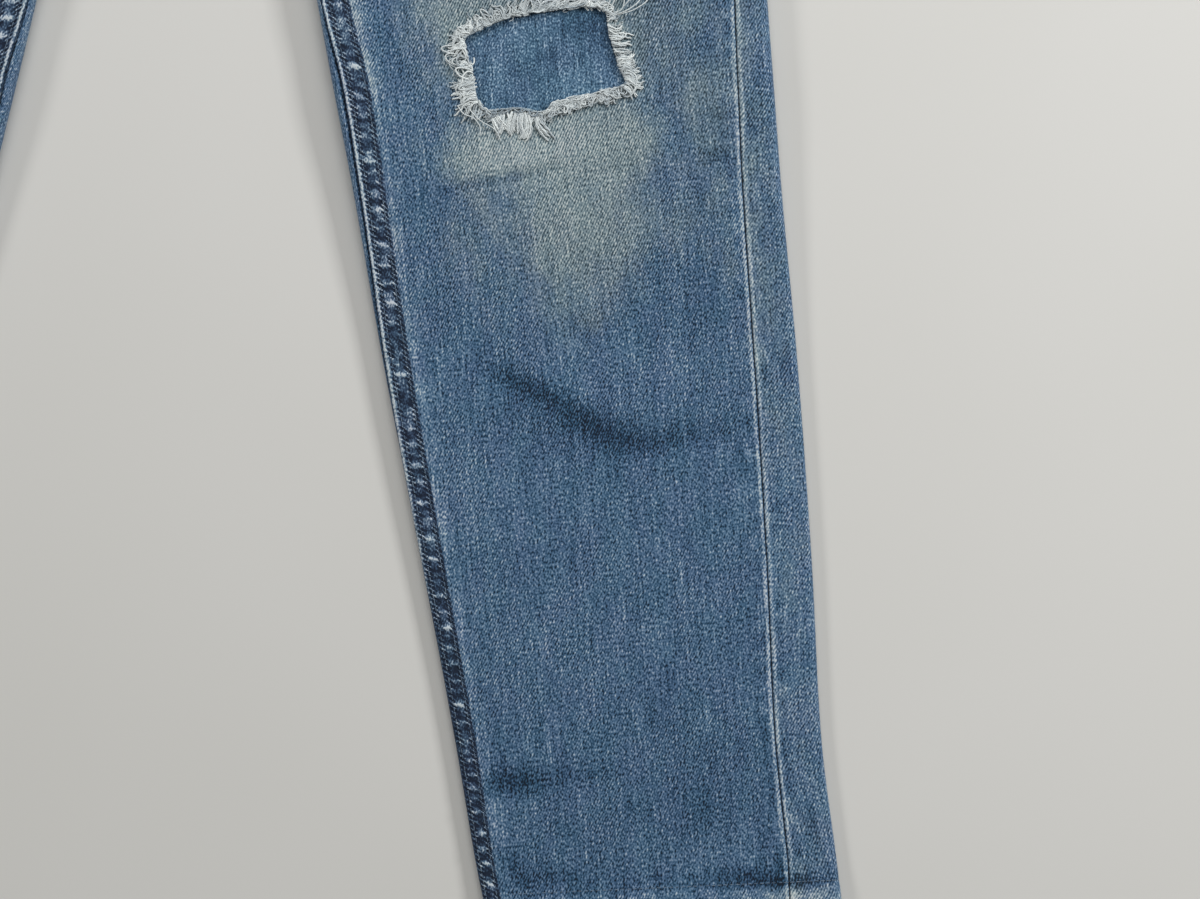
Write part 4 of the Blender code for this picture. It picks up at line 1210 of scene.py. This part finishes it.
def stitch_tree(material):
    """Stitches along lines: a plump length of thread every pitch, its ends sunk in the cloth."""
    tree, inputs = new_tree("stitches", [
        ("Pitch", "NodeSocketFloat"), ("Length", "NodeSocketFloat"), ("Width", "NodeSocketFloat"),
        ("Height", "NodeSocketFloat"), ("Seed", "NodeSocketInt")])
    lines = add(tree, "GeometryNodeMeshToCurve", {"Mesh": inputs["Geometry"]}).outputs["Curve"]
    even = add(tree, "GeometryNodeResampleCurve", {"Curve": lines, "Length": inputs["Pitch"]}, mode="LENGTH")
    bead = add(tree, "GeometryNodeMeshUVSphere", {"Segments": 6, "Rings": 4, "Radius": 0.5}).outputs["Mesh"]
    size = add(tree, "ShaderNodeCombineXYZ", {
        "X": inputs["Height"], "Y": inputs["Width"], "Z": inputs["Length"]}).outputs["Vector"]
    thread = add(tree, "GeometryNodeTransform", {"Geometry": bead, "Scale": size}).outputs["Geometry"]
    ahead = add(tree, "GeometryNodeInputTangent").outputs["Tangent"]
    out = add(tree, "GeometryNodeInputNamedAttribute", {"Name": "out"}, data_type="FLOAT_VECTOR")
    turned = add(tree, "FunctionNodeAlignRotationToVector", {"Vector": ahead}, axis="Z").outputs["Rotation"]
    turned = add(tree, "FunctionNodeAlignRotationToVector", {
        "Rotation": turned, "Vector": out.outputs["Attribute"]}, axis="X", pivot_axis="Z").outputs["Rotation"]
    made = add(tree, "GeometryNodeInstanceOnPoints", {
        "Points": even.outputs["Curve"], "Instance": thread, "Rotation": turned}).outputs["Instances"]
    tone = add(tree, "FunctionNodeRandomValue", {2: 0.25, 3: 0.75, "Seed": inputs["Seed"]}, data_type="FLOAT")
    made = add(tree, "GeometryNodeStoreNamedAttribute", {
        "Geometry": made, "Name": "tone", "Value": tone.outputs[1]}, data_type="FLOAT", domain="INSTANCE")
    return end_tree(tree, made.outputs["Geometry"], material)


def run_along(name, lines, tree, slot, sizes, out=None, **attributes):
    """Runs a tree over lines of points and keeps the result as a plain mesh."""
    points = np.concatenate(lines)
    edges, start = [], 0
    for line in lines:
        edges += [(start + index, start + index + 1) for index in range(len(line) - 1)]
        start += len(line)
    mesh = bpy.data.meshes.new(name)
    mesh.from_pydata(points.tolist(), edges, [])
    for key, values in attributes.items():
        mesh.attributes.new(key, "FLOAT", "POINT").data.foreach_set("value", np.concatenate(values))
    if out is not None:
        outs = mesh.attributes.new("out", "FLOAT_VECTOR", "POINT").data
        outs.foreach_set("vector", np.concatenate(out).ravel())
    piece = bpy.data.objects.new(name, mesh)
    bpy.context.scene.collection.objects.link(piece)
    maker = piece.modifiers.new(tree.name, "NODES")
    maker.node_group = tree
    for size, value in sizes.items():
        maker[tree.interface.items_tree[size].identifier] = value
    graph = bpy.context.evaluated_depsgraph_get()
    made = bpy.data.meshes.new_from_object(piece.evaluated_get(graph), preserve_all_data_layers=True,
                                           depsgraph=graph)
    piece.modifiers.remove(maker)
    piece.data = made
    bpy.data.meshes.remove(mesh)
    made.name = name
    dress(piece, slot)
    return piece


# How the yarns stand out of the rip's edge, in locks, by stretches of it in millimetres from its upper left
# corner clockwise: yarns in a millimetre, how far they reach, their lean along the edge and how much that
# strays, how much they curl, how wide a lock is, the share that turns back as loops and half of a loop's
# width, the yarns' radius, how pale they are, how high they stand and how far they start inside the rip.
Fray = namedtuple("Fray", "start end dense reach lean stray curl lock loops wide thick tone high inside")
FRAYS = [Fray(*row) for row in (
    (0, 16, 3.0, 8.6, 0.1, 0.7, 2.1, 1.8, 0.25, 1.2, 0.32, 0.52, 1.4, 0.0),
    (14, 36, 3.2, 8.8, 0.5, 0.6, 2.0, 1.8, 0.25, 1.2, 0.32, 0.66, 1.5, 0.0),
    (34, 62, 3.4, 9.0, 1.2, 0.4, 1.3, 1.9, 0.15, 1.1, 0.34, 0.72, 1.4, 0.2),
    (60, 70, 4.4, 6.8, 0.0, 0.5, 1.2, 1.8, 0.1, 0.9, 0.38, 0.80, 1.6, 2.2),
    (68, 77, 2.4, 6.8, 0.3, 0.4, 1.6, 1.4, 0.2, 0.8, 0.36, 0.62, 1.2, 0.6),
    (75, 97, 1.7, 9.8, 0.36, 0.08, 0.55, 1.3, 0.2, 0.8, 0.40, 0.82, 1.5, 0.8),
    (75, 97, 1.2, 8.0, 0.40, 0.30, 1.2, 1.5, 0.0, 0.8, 0.18, 0.60, 1.5, 0.2),
    (94, 108, 4.6, 9.0, 0.3, 0.22, 0.9, 2.0, 0.1, 0.9, 0.38, 0.78, 1.6, 1.0),
    (107, 118, 2.6, 7.6, -0.3, 0.45, 2.2, 1.6, 0.4, 1.5, 0.36, 0.62, 1.5, 0.7),
    (116, 150, 3.3, 7.4, -0.25, 0.6, 1.9, 1.7, 0.2, 1.0, 0.32, 0.78, 1.4, 0.0),
    (149, 158, 5.2, 13.0, -0.12, 0.05, 0.4, 2.6, 0.05, 0.8, 0.40, 0.76, 1.0, -3.0),
    (158, 173, 5.6, 10.2, 0.0, 0.06, 0.35, 2.8, 0.0, 0.8, 0.40, 0.74, 0.9, -3.5),
    (171, 183, 3.0, 7.6, 0.2, 0.6, 1.9, 1.6, 0.25, 1.2, 0.34, 0.56, 1.4, 0.6),
    (181, 194, 5.0, 11.4, 0.05, 0.12, 0.7, 2.0, 0.05, 0.9, 0.38, 0.86, 1.6, 1.4),
    (193, 208, 1.3, 12.4, 0.0, 0.5, 2.4, 1.4, 0.6, 2.6, 0.42, 0.84, 1.7, 0.4),
    (207, 220, 4.8, 7.8, 0.0, 0.12, 0.7, 2.0, 0.05, 0.9, 0.38, 0.86, 1.5, 0.2),
    (219, 226, 2.8, 7.0, 0.3, 0.6, 1.8, 1.6, 0.1, 1.0, 0.30, 0.40, 1.0, 0.0),
)]
# Where the rim has rolled over or matted under its locks, by the same stretches: how far out the roll lies,
# its half width, its yarns and how pale they are.
Roll = namedtuple("Roll", "start end out radius yarns tone")
ROLLS = [Roll(*row) for row in (
    (2, 62, 1.0, 0.7, 5, 0.58),
    (36, 64, 3.4, 1.6, 6, 0.70),
    (61, 70, 2.4, 1.9, 12, 0.72),
    (96, 107, 3.4, 2.4, 14, 0.70),
    (112, 150, 1.2, 1.0, 11, 0.70),
    (114, 147, 4.4, 1.3, 5, 0.66),
    (150, 174, 1.5, 1.3, 11, 0.26),
    (182, 193, 4.4, 3.0, 18, 0.80),
    (209, 219, 3.6, 2.4, 15, 0.78),
)]
# Loose ends that reach further out: points in millimetres across and down the front, with their heights.
LOOSE_ENDS = (
    ((209, 300.5, 0.8), (213.5, 298.8, 1.8), (217, 297, 2.0), (220.5, 294.2, 1.6), (222.5, 291, 1.0),
     (223.5, 285, 0.6)),
    ((211, 300, 0.9), (217, 298.4, 2.2), (221.5, 296, 2.0), (225.4, 292.6, 1.4), (228, 287, 0.6)),
    ((206, 298, 1.0), (208, 292.5, 2.0), (211.5, 290, 2.4), (214.3, 293, 2.0), (213, 297.5, 1.2),
     (209, 299, 0.6)),
    ((208, 297, 1.0), (211, 291, 2.0), (215, 288.5, 2.2), (217, 292, 1.6), (214, 296, 0.8)),
    ((136, 345, 1.0), (139, 349, 1.4), (144, 351, 1.2), (147, 355, 0.8), (147, 359, 0.5)),
    ((141, 346, 1.0), (147, 352, 1.4), (154, 356, 1.0), (157, 361, 0.6)),
)


def curve_through(stops, count):
    """Even points of a smooth line through these stops."""
    stops = np.asarray(stops, float)
    padded = np.vstack([2 * stops[0] - stops[1], stops, 2 * stops[-1] - stops[-2]])
    steps = np.linspace(0, len(stops) - 1, count)
    index = np.minimum(steps.astype(int), len(stops) - 2)
    return through(padded, index, (steps - index)[:, None])


class RipGround:
    """The height of the left front round the rip."""

    def __init__(self):
        self.across = np.linspace(118, 252, 28) * MM
        self.down = np.linspace(262, 385, 26) * MM
        self.height = np.array([[front_at(x, MID_DOWN - down)[0][2] for x in self.across]
                                for down in self.down])

    def at(self, points):
        """The heights under an array of points."""
        columns = np.clip(np.interp(points[:, 0], self.across, range(28)), 0, 26.999)
        rows = np.clip(np.interp(MID_DOWN - points[:, 1], self.down, range(26)), 0, 24.999)
        a, b = columns.astype(int), rows.astype(int)
        u, v = columns - a, rows - b
        grid = self.height
        return (grid[b, a] * (1 - u) + grid[b, a + 1] * u) * (1 - v) \
            + (grid[b + 1, a] * (1 - u) + grid[b + 1, a + 1] * u) * v


def make_fringe():
    """The rip's frayed edge: weft yarns turned out over the front, in tufts, curls and loops."""
    edge, outward = rip_points(1200)
    length = sides_of(edge).sum() / MM
    ground = RipGround()
    lines, thick, tones = [], [], []

    def lay(plan, heights, radius, tone):
        """Adds one yarn from its places in plan and its heights over the cloth."""
        floor = ground.at(plan)
        z = floor + radius * 0.8 + np.maximum(heights, 0) * MM
        lines.append(np.column_stack([plan, z]))
        taper = np.ones(len(plan))
        taper[-1] = 0.75
        thick.append(taper * radius)
        tones.append(np.full(len(plan), np.clip(tone, 0.05, 1.0)))

    def lay_from(place, outer, beside, heights, radius, tone):
        """Adds a yarn that leaves the edge at this place: how far out it goes, and how far along."""
        index = int(place % length / length * len(edge)) % len(edge)
        out = outward[index]
        along = np.array([out[1], -out[0]])
        lay(edge[index] + (outer[:, None] * out + beside[:, None] * along) * MM, heights, radius * MM, tone)

    for fray in FRAYS:
        locks = round((fray.end - fray.start) / fray.lock)
        for lock in range(locks):
            middle = fray.start + (lock + RANDOM.uniform(0.3, 0.7)) * (fray.end - fray.start) / locks
            lean = fray.lean + RANDOM.normal(0, fray.stray)
            own, shade = RANDOM.uniform(0, 500), RANDOM.normal(0, 0.09)
            long = fray.reach * RANDOM.uniform(0.8, 1.12)
            for _ in range(round(fray.lock * fray.dense)):
                # The yarns of a lock lie side by side, go the same way and draw together at their ends.
                aside = RANDOM.uniform(-0.55, 0.55) * fray.lock
                reach = long * RANDOM.uniform(0.6, 1.06)
                start = 0.1 - fray.inside * RANDOM.uniform(0.3, 1.0)
                share = np.linspace(0, 1, 15)
                if RANDOM.random() < fray.loops:
                    turn = math.pi * share
                    wide = fray.wide * RANDOM.uniform(0.6, 1.2)
                    outer = start + 0.9 * reach * np.sin(turn) ** 0.85
                    beside = -wide * np.cos(turn) * (1 + 0.5 * np.sin(turn)) + lean * outer \
                        + 0.6 * np.array([noise.noise((own + 3 * one, aside, 1.7)) for one in share])
                    heights = fray.high * (0.25 + 0.75 * np.sin(turn)) * RANDOM.uniform(0.3, 1.1)
                else:
                    slow = 1.2 + 0.4 * fray.curl
                    bend = np.array([noise.noise((own + one * slow, 0.5, 7.7 + 0.25 * aside))
                                     for one in share])
                    heading = math.atan(lean) + 2.4 * fray.curl * (bend - bend[0]) + RANDOM.normal(0, 0.08) \
                        + 0.28 * np.sin(share * 24 + RANDOM.uniform(0, 6))
                    stride = reach * (1.0 + 0.18 * fray.curl) / 14
                    outer = start + np.concatenate([[0], np.cumsum(np.cos(heading[1:]) * stride)])
                    outer = np.where(outer < 0.2, 0.2 + 0.25 * (outer - 0.2), outer)
                    beside = np.concatenate([[0], np.cumsum(np.sin(heading[1:]) * stride)]) \
                        - 0.55 * aside * share ** 1.5
                    heights = fray.high * RANDOM.uniform(0.1, 1.0) * np.sin(math.pi * share ** 0.7) + 0.12
                fine = RANDOM.random() < 0.2
                radius = RANDOM.uniform(0.12, 0.17) if fine else fray.thick * RANDOM.uniform(0.8, 1.15)
                tone = fray.tone + shade + RANDOM.normal(0, 0.13)
                lay_from(middle + aside, outer, beside, heights, radius, tone)
    for roll in ROLLS:
        for yarn in range(roll.yarns):
            start, end = (stop + RANDOM.uniform(-1.5, 1.5) for stop in (roll.start, roll.end))
            places = np.arange(start, end, 0.5)
            turn = 2 * math.pi * (places / 27 + yarn / roll.yarns) \
                + 3.0 * np.array([noise.noise((place / 3.5, yarn * 3.3, 2.2)) for place in places])
            sway = 0.9 * np.array([noise.noise((place / 4, roll.out, 6.1)) for place in places])
            indexes = (places % length / length * len(edge)).astype(int) % len(edge)
            out = np.maximum(roll.out + sway + roll.radius * np.sin(turn), 0.15)
            plan = edge[indexes] + outward[indexes] * out[:, None] * MM
            heights = 0.1 + min(roll.radius, 1.0) * 0.55 * (1 + np.cos(turn))
            lay(plan, heights, RANDOM.uniform(0.22, 0.36) * MM, roll.tone + RANDOM.normal(0, 0.14))
    for stops in LOOSE_ENDS:
        points = curve_through(stops, 26)
        plan = np.column_stack([points[:, 0] * MM, MID_DOWN - points[:, 1] * MM])
        lay(plan, points[:, 2], 0.27 * MM, 0.85)
    piece = run_along("knee_fringe", lines, yarn_tree(YARN), "frayed_cotton", {"Sides": 4, "Thickness": 1.0},
                      thickness=thick, tone=tones)
    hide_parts("knee_fray")
    return piece


# How far rows of stitches lie from an edge: twin rows, also in millimetres, and the fly's.
TWIN_ROWS_MM = (2.2, 8.0)
TWIN_ROWS = tuple(row * MM for row in TWIN_ROWS_MM)
FLY_ROWS = (37 * MM, 43 * MM)
# Where the scoops' rows end, the fly's turn in, and the front seat seam's start and end, as places.
SCOOP_ROWS_END, FLY_TURN, SEAT_ROWS_START, SEAT_ROWS_END = 3.6, 3.3, 4.25, 5.9
THREAD_LIFT, THREAD_FLOOR = 0.08 * MM, 0.3 * MM
POCKET_THREAD_UP = 0.10 * MM


def path_on(row, side, stops):
    """Points and directions out of a piece along a line given by places and distances round the cloth."""
    stops = np.array(stops, float)
    points = [row(place, side, [at]).points[0] for place, at in stops]
    return points, [out_at(place, side, at) for place, at in stops]


def out_at(place, side, at):
    """The direction out of the cloth there."""
    return lie(section_at(min(place, LAST)), side, [at])[1][0]


def make_stitches():
    """Every row of stitches, tonal thread sunk in the cloth."""
    lines, outs = {"denim": [], "tacks": []}, {"denim": [], "tacks": []}

    def sew(points, out, kind="denim"):
        """Sews along these points."""
        points, out = np.asarray(points, float), np.asarray(out, float)
        points = points + out * THREAD_LIFT
        points[:, 2] = np.maximum(points[:, 2], THREAD_FLOOR)
        lines[kind].append(points)
        outs[kind].append(out)

    def sew_across(row, place, side, start, end, count):
        """Sews across a piece, between two distances round the cloth."""
        ats = spread(start, end, count)
        sew(row(place, side, ats).points, lie(section_at(place), side, ats)[1])

    def downs(start, end, step=6 * MM):
        return places_between(start, end, step)

    def outseam_at(place):
        section = section_at(place)
        return half_loop(section) - section.outseam

    for side in (1, -1):
        for share in FELL_STITCHES:
            places = downs(ROW_OF["crotch"], LAST - 0.03, 3 * MM)
            ats = [section.inseam + SEAM + share * float(fell_width(section.front))
                   for section in map(section_at, places)]
            sew([fell_row(place, side, [share]).points[0] for place in places],
                [out_at(place, side, at) for place, at in zip(places, ats)])
        # Hem.
        place = place_of(ROWS[LAST].side - HEM_STITCH)
        section = section_at(place)
        sew_across(front_row, place, side, section.inseam + 13 * MM, outseam_at(place) - 1.5 * MM, 60)
        sew_across(back_row, place, side, outseam_at(place) + 1.5 * MM,
                   2 * half_loop(section) + section.inseam - 1 * MM, 70)
        # Pocket scoops, and the yoke seams, on the yoke.
        for inset in TWIN_ROWS:
            sew(*path_on(front_row, side, [
                (place, scoop_edge(section_at(place)) - inset)
                for place in downs(1.02, SCOOP_ROWS_END, 3 * MM)
                if scoop_edge(section_at(place)) < outseam_at(place) - 4 * MM]))
        for above in TWIN_ROWS:
            place = place_of(ROWS[ROW_OF["yoke seam"]].side - above)
            sew_across(back_row, place, side, outseam_at(place) + 3 * MM,
                       2 * half_loop(section_at(place)) - 2 * MM, 60)
        # Back pockets.
        for inset in TWIN_ROWS_MM:
            low = POCKET_SIDES - inset * 0.6
            corners = np.array([(inset - POCKET_MOUTH, 0.6), (inset - POCKET_LOW, low),
                                (0, POCKET_LONG - inset * 1.1), (POCKET_LOW - inset, low),
                                (POCKET_MOUTH - inset, 0.6)])
            plan = [start + (end - start) * share for start, end in zip(corners, corners[1:])
                    for share in spread(0, 1, 16)[:-1]] + [corners[-1]]
            sew([pocket_point(side, *place, POCKET_THREAD_UP) for place in plan], [(0, 0, -1)] * len(plan))
        mouth = [pocket_point(side, across, POCKET_HEM, POCKET_THREAD_UP) for across in spread(-69, 69, 30)]
        sew(mouth, [(0, 0, -1)] * len(mouth))
    # Fly and the front of the seat seam.
    for inset in FLY_ROWS:
        stops = [(place, inset) for place in downs(1.02, FLY_TURN)]
        deep = 0.75 + (inset - FLY_ROWS[0]) / 50 / MM
        stops += [(FLY_TURN + deep * math.sin(turn), 2 * MM + (inset - 2 * MM) * math.cos(turn))
                  for turn in spread(0, math.pi / 2, 14)[1:]]
        sew(*path_on(front_row, 1, stops))
    for inset in TWIN_ROWS:
        sew(*path_on(front_row, 1, [(place, inset) for place in downs(SEAT_ROWS_START, SEAT_ROWS_END)]))
        sew(*path_on(back_row, 1, [(place, 2 * half_loop(section_at(place)) - inset)
                                   for place in downs(1.05, SEAT_ROWS_END)]))
    # Waistband.
    for place in (2.2 / BAND_MM, 1 - 2.2 / BAND_MM):
        for side in (1, -1):
            sew_across(band_row, place, side, (-2.5 if side > 0 else 3.0) * MM,
                       2 * half_loop(section_at(place)), 130)
    sew(*path_on(band_row, 1, [(place, -2 * MM) for place in spread(0.06, 0.94, 10)]))
    # Belt loops and their tacks.
    for across, on_front in BELT_LOOPS.values():
        up = (0, 0, 1 if on_front else -1)
        for lane in (-0.62, 0.62):
            path = [loop_row(across, on_front, share, np.array([lane])).points[0]
                    for share in spread(0.03, 0.97, 14)]
            sew(path, [up] * len(path))
        for share in (0.035, 0.95):
            for shift in (-0.012, 0.012):
                path = loop_row(across, on_front, share + shift, spread(-0.9, 0.9, 6)).points
                sew(path, [up] * 6, "tacks")
    for name, kind, *sizes in (("stitches", "denim", 2.9, 2.5, 0.62, 0.42, 3),
                               ("bar_tacks", "tacks", 0.55, 0.5, 1.5, 0.5, 4)):
        inputs = dict(zip(("Pitch", "Length", "Width", "Height"), (size * MM for size in sizes)))
        inputs["Seed"] = sizes[-1]
        run_along(name, lines[kind], stitch_tree(THREAD), "denim", inputs, outs[kind])


# The button in millimetres, and its profile from the top inwards: shares of its radius and of its height.
BUTTON_RADIUS, BUTTON_HEIGHT, BUTTON_ACROSS, BUTTON_SIDES, BUTTON_TOP = 8.5, 3.2, 14, 48, 0.86
BUTTON_PROFILE = ((0.30, 0.84), (0.50, 0.80), (0.60, 0.82), (0.68, 0.92), (0.76, 1.0), (0.84, 1.0),
                  (0.91, 0.94), (0.97, 0.82), (1.0, 0.66), (0.99, 0.50), (0.93, 0.36), (0.80, 0.28),
                  (0.62, 0.22), (0.55, 0.0))


def make_button():
    """A plain turned button with a rolled rim, on its shank."""
    material, tree, shader = new_material("antiqued brass", roughness=0.42, metallic=1.0)
    place = add(tree, "ShaderNodeTexCoord").outputs["Object"]
    tarnish = add(tree, "ShaderNodeTexNoise", {"Vector": place, "Scale": 900.0, "Detail": 3.0}).outputs["Fac"]
    tree.links.new(ramp(tree, tarnish, ((0.3, "#5b4a34"), (0.7, "#a08a63"))), shader.inputs["Base Color"])
    dull = add(tree, "ShaderNodeMapRange",
               {"Value": tarnish, "To Min": 0.58, "To Max": 0.34}).outputs["Result"]
    tree.links.new(dull, shader.inputs["Roughness"])
    pits = add(tree, "ShaderNodeBump", {"Height": tarnish, "Strength": 0.25, "Distance": 0.1 * MM})
    tree.links.new(pits.outputs["Normal"], shader.inputs["Normal"])
    centre = np.array([BUTTON_ACROSS * MM, MID_DOWN - (ROWS[0].front + ROWS[1].front) / 2,
                       ROWS[0].lift + ROWS[0].height + BAND_PROUD + BAND_RAISE + CLEAR])
    turns = 2 * math.pi * np.arange(BUTTON_SIDES) / BUTTON_SIDES
    points = [centre + np.array([radius * BUTTON_RADIUS * math.cos(turn),
                                 radius * BUTTON_RADIUS * math.sin(turn), height * BUTTON_HEIGHT]) * MM
              for radius, height in BUTTON_PROFILE for turn in turns]
    rings = len(BUTTON_PROFILE)
    faces = grid_faces(rings, BUTTON_SIDES, True, closed=True)
    # A fan closes the top and another the foot of the shank.
    top, last_ring = rings * BUTTON_SIDES, (rings - 1) * BUTTON_SIDES
    points += [centre + np.array([0, 0, BUTTON_TOP * BUTTON_HEIGHT * MM]), centre]
    for step in range(BUTTON_SIDES):
        beside = (step + 1) % BUTTON_SIDES
        faces += [(top, step, beside), (top + 1, last_ring + beside, last_ring + step)]
    piece = mesh_piece("shank_button", points, faces, material)
    dress(piece, "aged_metal", "button")
    return piece


def finish_zip():
    """The zip hides behind the fly: woven tape over metal teeth."""
    material, tree, shader = new_material("woven cotton zip tape", roughness=0.9)
    place = add(tree, "ShaderNodeTexCoord").outputs["Object"]
    rib = add(tree, "ShaderNodeTexWave", {"Vector": place, "Scale": 400.0, "Distortion": 1.0},
              bands_direction="Y").outputs["Fac"]
    tree.links.new(ramp(tree, rib, ((0.0, "#22303f"), (1.0, "#3b4c60"))), shader.inputs["Base Color"])
    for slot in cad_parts["zip"].material_slots:
        slot.material = material


BELT_LOOPS = {
    "belt_loop_front_left": (LOOP_ACROSS, True), "belt_loop_front_right": (-LOOP_ACROSS, True),
    "belt_loop_back_left": (LOOP_ACROSS, False), "belt_loop_back_right": (-LOOP_ACROSS, False),
    "belt_loop_back_centre": (0.0001 * MM, False),
}
front_left = make_front("front_left", 1, 2.3 * MM, 58, rip=True)
front_right = make_front("front_right", -1, 3.2 * MM, 38)
fells = {side: make_fell(f"inseam_fell_{name}", side, step)
         for name, side, step in (("left", 1, 0.6 * MM), ("right", -1, 0.9 * MM))}
back_left = make_back("back_left", 1, ROW_OF["yoke seam"], LAST, 2.7 * MM, 44)
back_right = make_back("back_right", -1, ROW_OF["yoke seam"], LAST, 3.4 * MM, 36)
others = []
for name, side in (("left", 1), ("right", -1)):
    others.append(make_back(f"yoke_{name}", side, ROW_OF["waist seam"], ROW_OF["yoke seam"], 2.7 * MM, 50))
    others.append(make_hem(f"hem_{name}", side))
    others.append(make_back_pocket(f"back_pocket_{name}", side))
    others.append(make_facing(f"pocket_facing_{name}", side))
others.append(make_waistband())
others += [make_belt_loop(name, *where) for name, where in BELT_LOOPS.items()]
others.append(make_patch())
fringe = make_fringe()
make_stitches()
make_button()
finish_zip()

# -------------------- stage, camera

def make_floor():
    """A matt pale tabletop."""
    material, tree, shader = new_material("matt white card", roughness=0.9)
    place = add(tree, "ShaderNodeTexCoord").outputs["Object"]
    cloudy = add(tree, "ShaderNodeTexNoise", {"Vector": place, "Scale": 3.0, "Detail": 2.0}).outputs["Fac"]
    tree.links.new(ramp(tree, cloudy, ((0.3, "#cdccc7"), (0.7, "#d1d0cc"))), shader.inputs["Base Color"])
    floor = mesh_piece("floor", [(-4, -4, 0), (4, -4, 0), (4, 4, 0), (-4, 4, 0)], [(0, 1, 2, 3)], material)


make_floor()
world = bpy.data.worlds.new("studio")
bpy.context.scene.world = world
world.use_nodes = True
world.node_tree.nodes["Background"].inputs["Color"].default_value = hex_colour("#ffffff")
world.node_tree.nodes["Background"].inputs["Strength"].default_value = 0.155


def make_lamp(name, location, aim, size, power):
    """A soft square lamp aimed at a place."""
    lamp = bpy.data.lights.new(name, "AREA")
    lamp.shape, lamp.size, lamp.energy = "SQUARE", size, power
    made = bpy.data.objects.new(name, lamp)
    made.location = location
    direction = np.array(aim, float) - np.array(location, float)
    yaw = math.atan2(direction[1], direction[0])
    pitch = math.atan2(math.hypot(direction[0], direction[1]), -direction[2])
    made.rotation_euler = (pitch, 0, yaw - math.pi / 2)
    bpy.context.scene.collection.objects.link(made)


make_lamp("side softbox", (2.26, 0.53, 1.25), (0.2, -0.25, 0), 0.5, 40)
make_lamp("fill softbox", (-6.5, 0.84, 4.16), (0.2, -0.25, 0), 1.5, 180)
make_lamp("top softbox", (0.2, 1.7, 1.4), (0.2, -0.1, 0), 1.2, 34)

lens = bpy.data.cameras.new("overhead")
lens.lens, lens.sensor_width = 85, 36
camera = bpy.data.objects.new("overhead", lens)
camera.location = (0.2081, -0.279, 1.365)
camera.rotation_euler = (0, 0, 0.025)
bpy.context.scene.collection.objects.link(camera)
bpy.context.scene.camera = camera
bpy.context.scene.view_settings.view_transform = "Standard"
